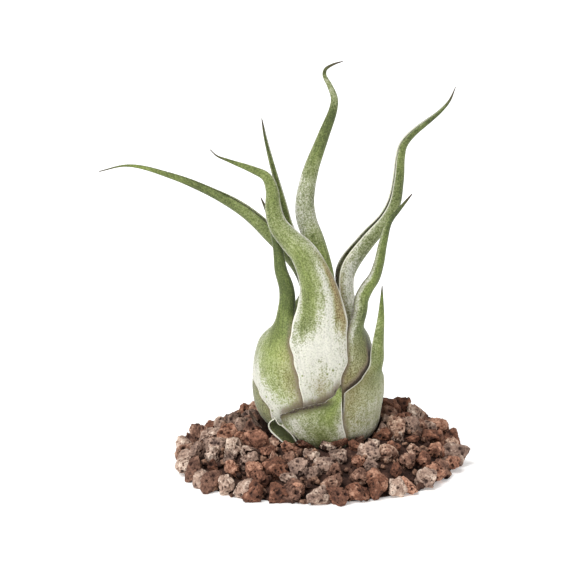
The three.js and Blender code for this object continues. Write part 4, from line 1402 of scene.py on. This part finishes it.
bm = bmesh.new()
tone = bm.verts.layers.float.new("tone")
pit = bm.verts.layers.float.new("pit")
profile = [bm.verts.new((r * CORE_RADIUS / CORE_STEPS, 0, 1)) for r in range(CORE_STEPS + 1)]
profile.append(bm.verts.new((CORE_RADIUS, 0, 0)))
profile.append(bm.verts.new((0, 0, 0)))
edges = [bm.edges.new(pair) for pair in zip(profile, profile[1:])]
full_turn = dict(axis=(0, 0, 1), cent=(0, 0, 0), steps=CORE_SPOKES, angle=2 * math.pi, use_merge=True)
bmesh.ops.spin(bm, geom=profile + edges, **full_turn)
bmesh.ops.remove_doubles(bm, verts=bm.verts[:], dist=DOUBLES)
for vert in bm.verts:
    vert[tone] = CORE_SHADE_TONE
    x, y = heap_place(math.hypot(vert.co.x, vert.co.y), math.atan2(vert.co.y, vert.co.x))
    z = vert.co.z
    if z > 0:
        lump = CORE_ROUGHNESS * noise.noise(Vector((x, y, 0)) / CORE_LUMP)
        z = max(core_height(x, y) - CORE_DIP + lump, CORE_LEAST)
        room = bulb_radius(max(z, SEAT_SHOULDER)) + SEAT_GAP
        if math.hypot(x - lean_at(z), y) < room:
            z = min(z, SEAT_HEIGHT)
    vert.co = Vector((x, y, z)) * MM
print("the packed middle has", len(bm.faces), "faces")

# %% Grit
GRIT_COUNT = 620
GRIT_START = 21
GRIT_BEYOND = 2.5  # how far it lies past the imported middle
GRIT_HALF = (0.7, 2.1)
GRIT_FLATNESS = (0.6, 1)
GRIT_LIFT = (-0.3, 2.4)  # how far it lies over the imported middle
GRIT_REST = 0.6  # least height of a grain's middle, as a share of its half length
GRIT_TONES = (-0.2, 0.3)
GRIT_DETAIL = 2

for _ in range(GRIT_COUNT):
    far = mix(GRIT_START, CORE_RADIUS + GRIT_BEYOND, math.sqrt(rng.random()))
    x, y = heap_place(far, rng.uniform(0, 2 * math.pi))
    half = mix(*GRIT_HALF, rng.random() ** 2)
    size = Vector((half, half * rng.uniform(*GRIT_FLATNESS), half * rng.uniform(*GRIT_FLATNESS)))
    turn = Euler([rng.uniform(0, 2 * math.pi) for _ in range(3)]).to_matrix()
    lift = rng.uniform(*GRIT_LIFT) * (far < CORE_RADIUS)
    centre = Vector((x, y, max(core_height(x, y) + lift, half * GRIT_REST)))
    lightness = rng.uniform(*GRIT_TONES)
    for vert in add_stone(bm, rng, centre, size, turn, pit, detail=GRIT_DETAIL):
        vert[tone] = lightness
grit = piece(bm, "gravel_packed_middle", "gravel")
grit.data.materials.append(shaded_grit_rock)
print("packed middle and grit:", len(grit.data.polygons), "faces")

# %% [markdown]
# ## Floor, light and the end
#
# Such cut-out photographs are taken on a white table that is lit from below as well, which keeps
# the shadows faint. So the floor is white and glows a little, under a broad soft light from the
# front left and a weak one from behind.

# %% Floor
FLOOR_HALF = 12.0  # in metres, so that its edges are never seen

bm = bmesh.new()
bmesh.ops.create_grid(bm, x_segments=1, y_segments=1, size=FLOOR_HALF)
floor_mesh = bpy.data.meshes.new("floor")
bm.to_mesh(floor_mesh)
bm.free()
floor = bpy.data.objects.new("floor", floor_mesh)
bpy.context.scene.collection.objects.link(floor)
paper, tree, paper_skin = new_material("white_backdrop_paper")
paper_skin.inputs["Base Color"].default_value = linear("#fbfbfa")
paper_skin.inputs["Roughness"].default_value = 0.9
paper_skin.inputs["Emission Color"].default_value = (1, 1, 1, 1)
paper_skin.inputs["Emission Strength"].default_value = 0.25
floor.data.materials.append(paper)
floor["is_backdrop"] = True
print("the floor is", 2 * FLOOR_HALF, "m wide")

# %% Lights
LIGHTS = {
    "key": ((-0.45, -0.62, 0.95), 2.7, 34),
    "back": ((0.5, 0.8, 0.7), 0.3, 60),
}  # where it comes from, its power, and how many degrees of the sky it fills
DAYLIGHT = 0.5

for name, (where, power, width) in LIGHTS.items():
    lamp = bpy.data.lights.new(name, "SUN")
    lamp.energy, lamp.angle = power, math.radians(width)
    lamp_object = bpy.data.objects.new(name, lamp)
    lamp_object.location = where
    lamp_object.rotation_euler = Vector(where).to_track_quat("Z", "Y").to_euler()
    bpy.context.scene.collection.objects.link(lamp_object)

world = bpy.data.worlds.new("studio")
world.use_nodes = True
world.node_tree.nodes["Background"].inputs["Color"].default_value = (1, 1, 1, 1)
world.node_tree.nodes["Background"].inputs["Strength"].default_value = DAYLIGHT
bpy.context.scene.world = world
bpy.context.scene.view_settings.view_transform = "Standard"
print("lights:", ", ".join(LIGHTS))

# %% [markdown]
# ## The size and finish
#
# The box that the finer model fills is gathered beside the imported one's.

# %% Finish
size = {"cad": [list(corner) for corner in cad_box], "visual": [list(corner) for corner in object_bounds()]}
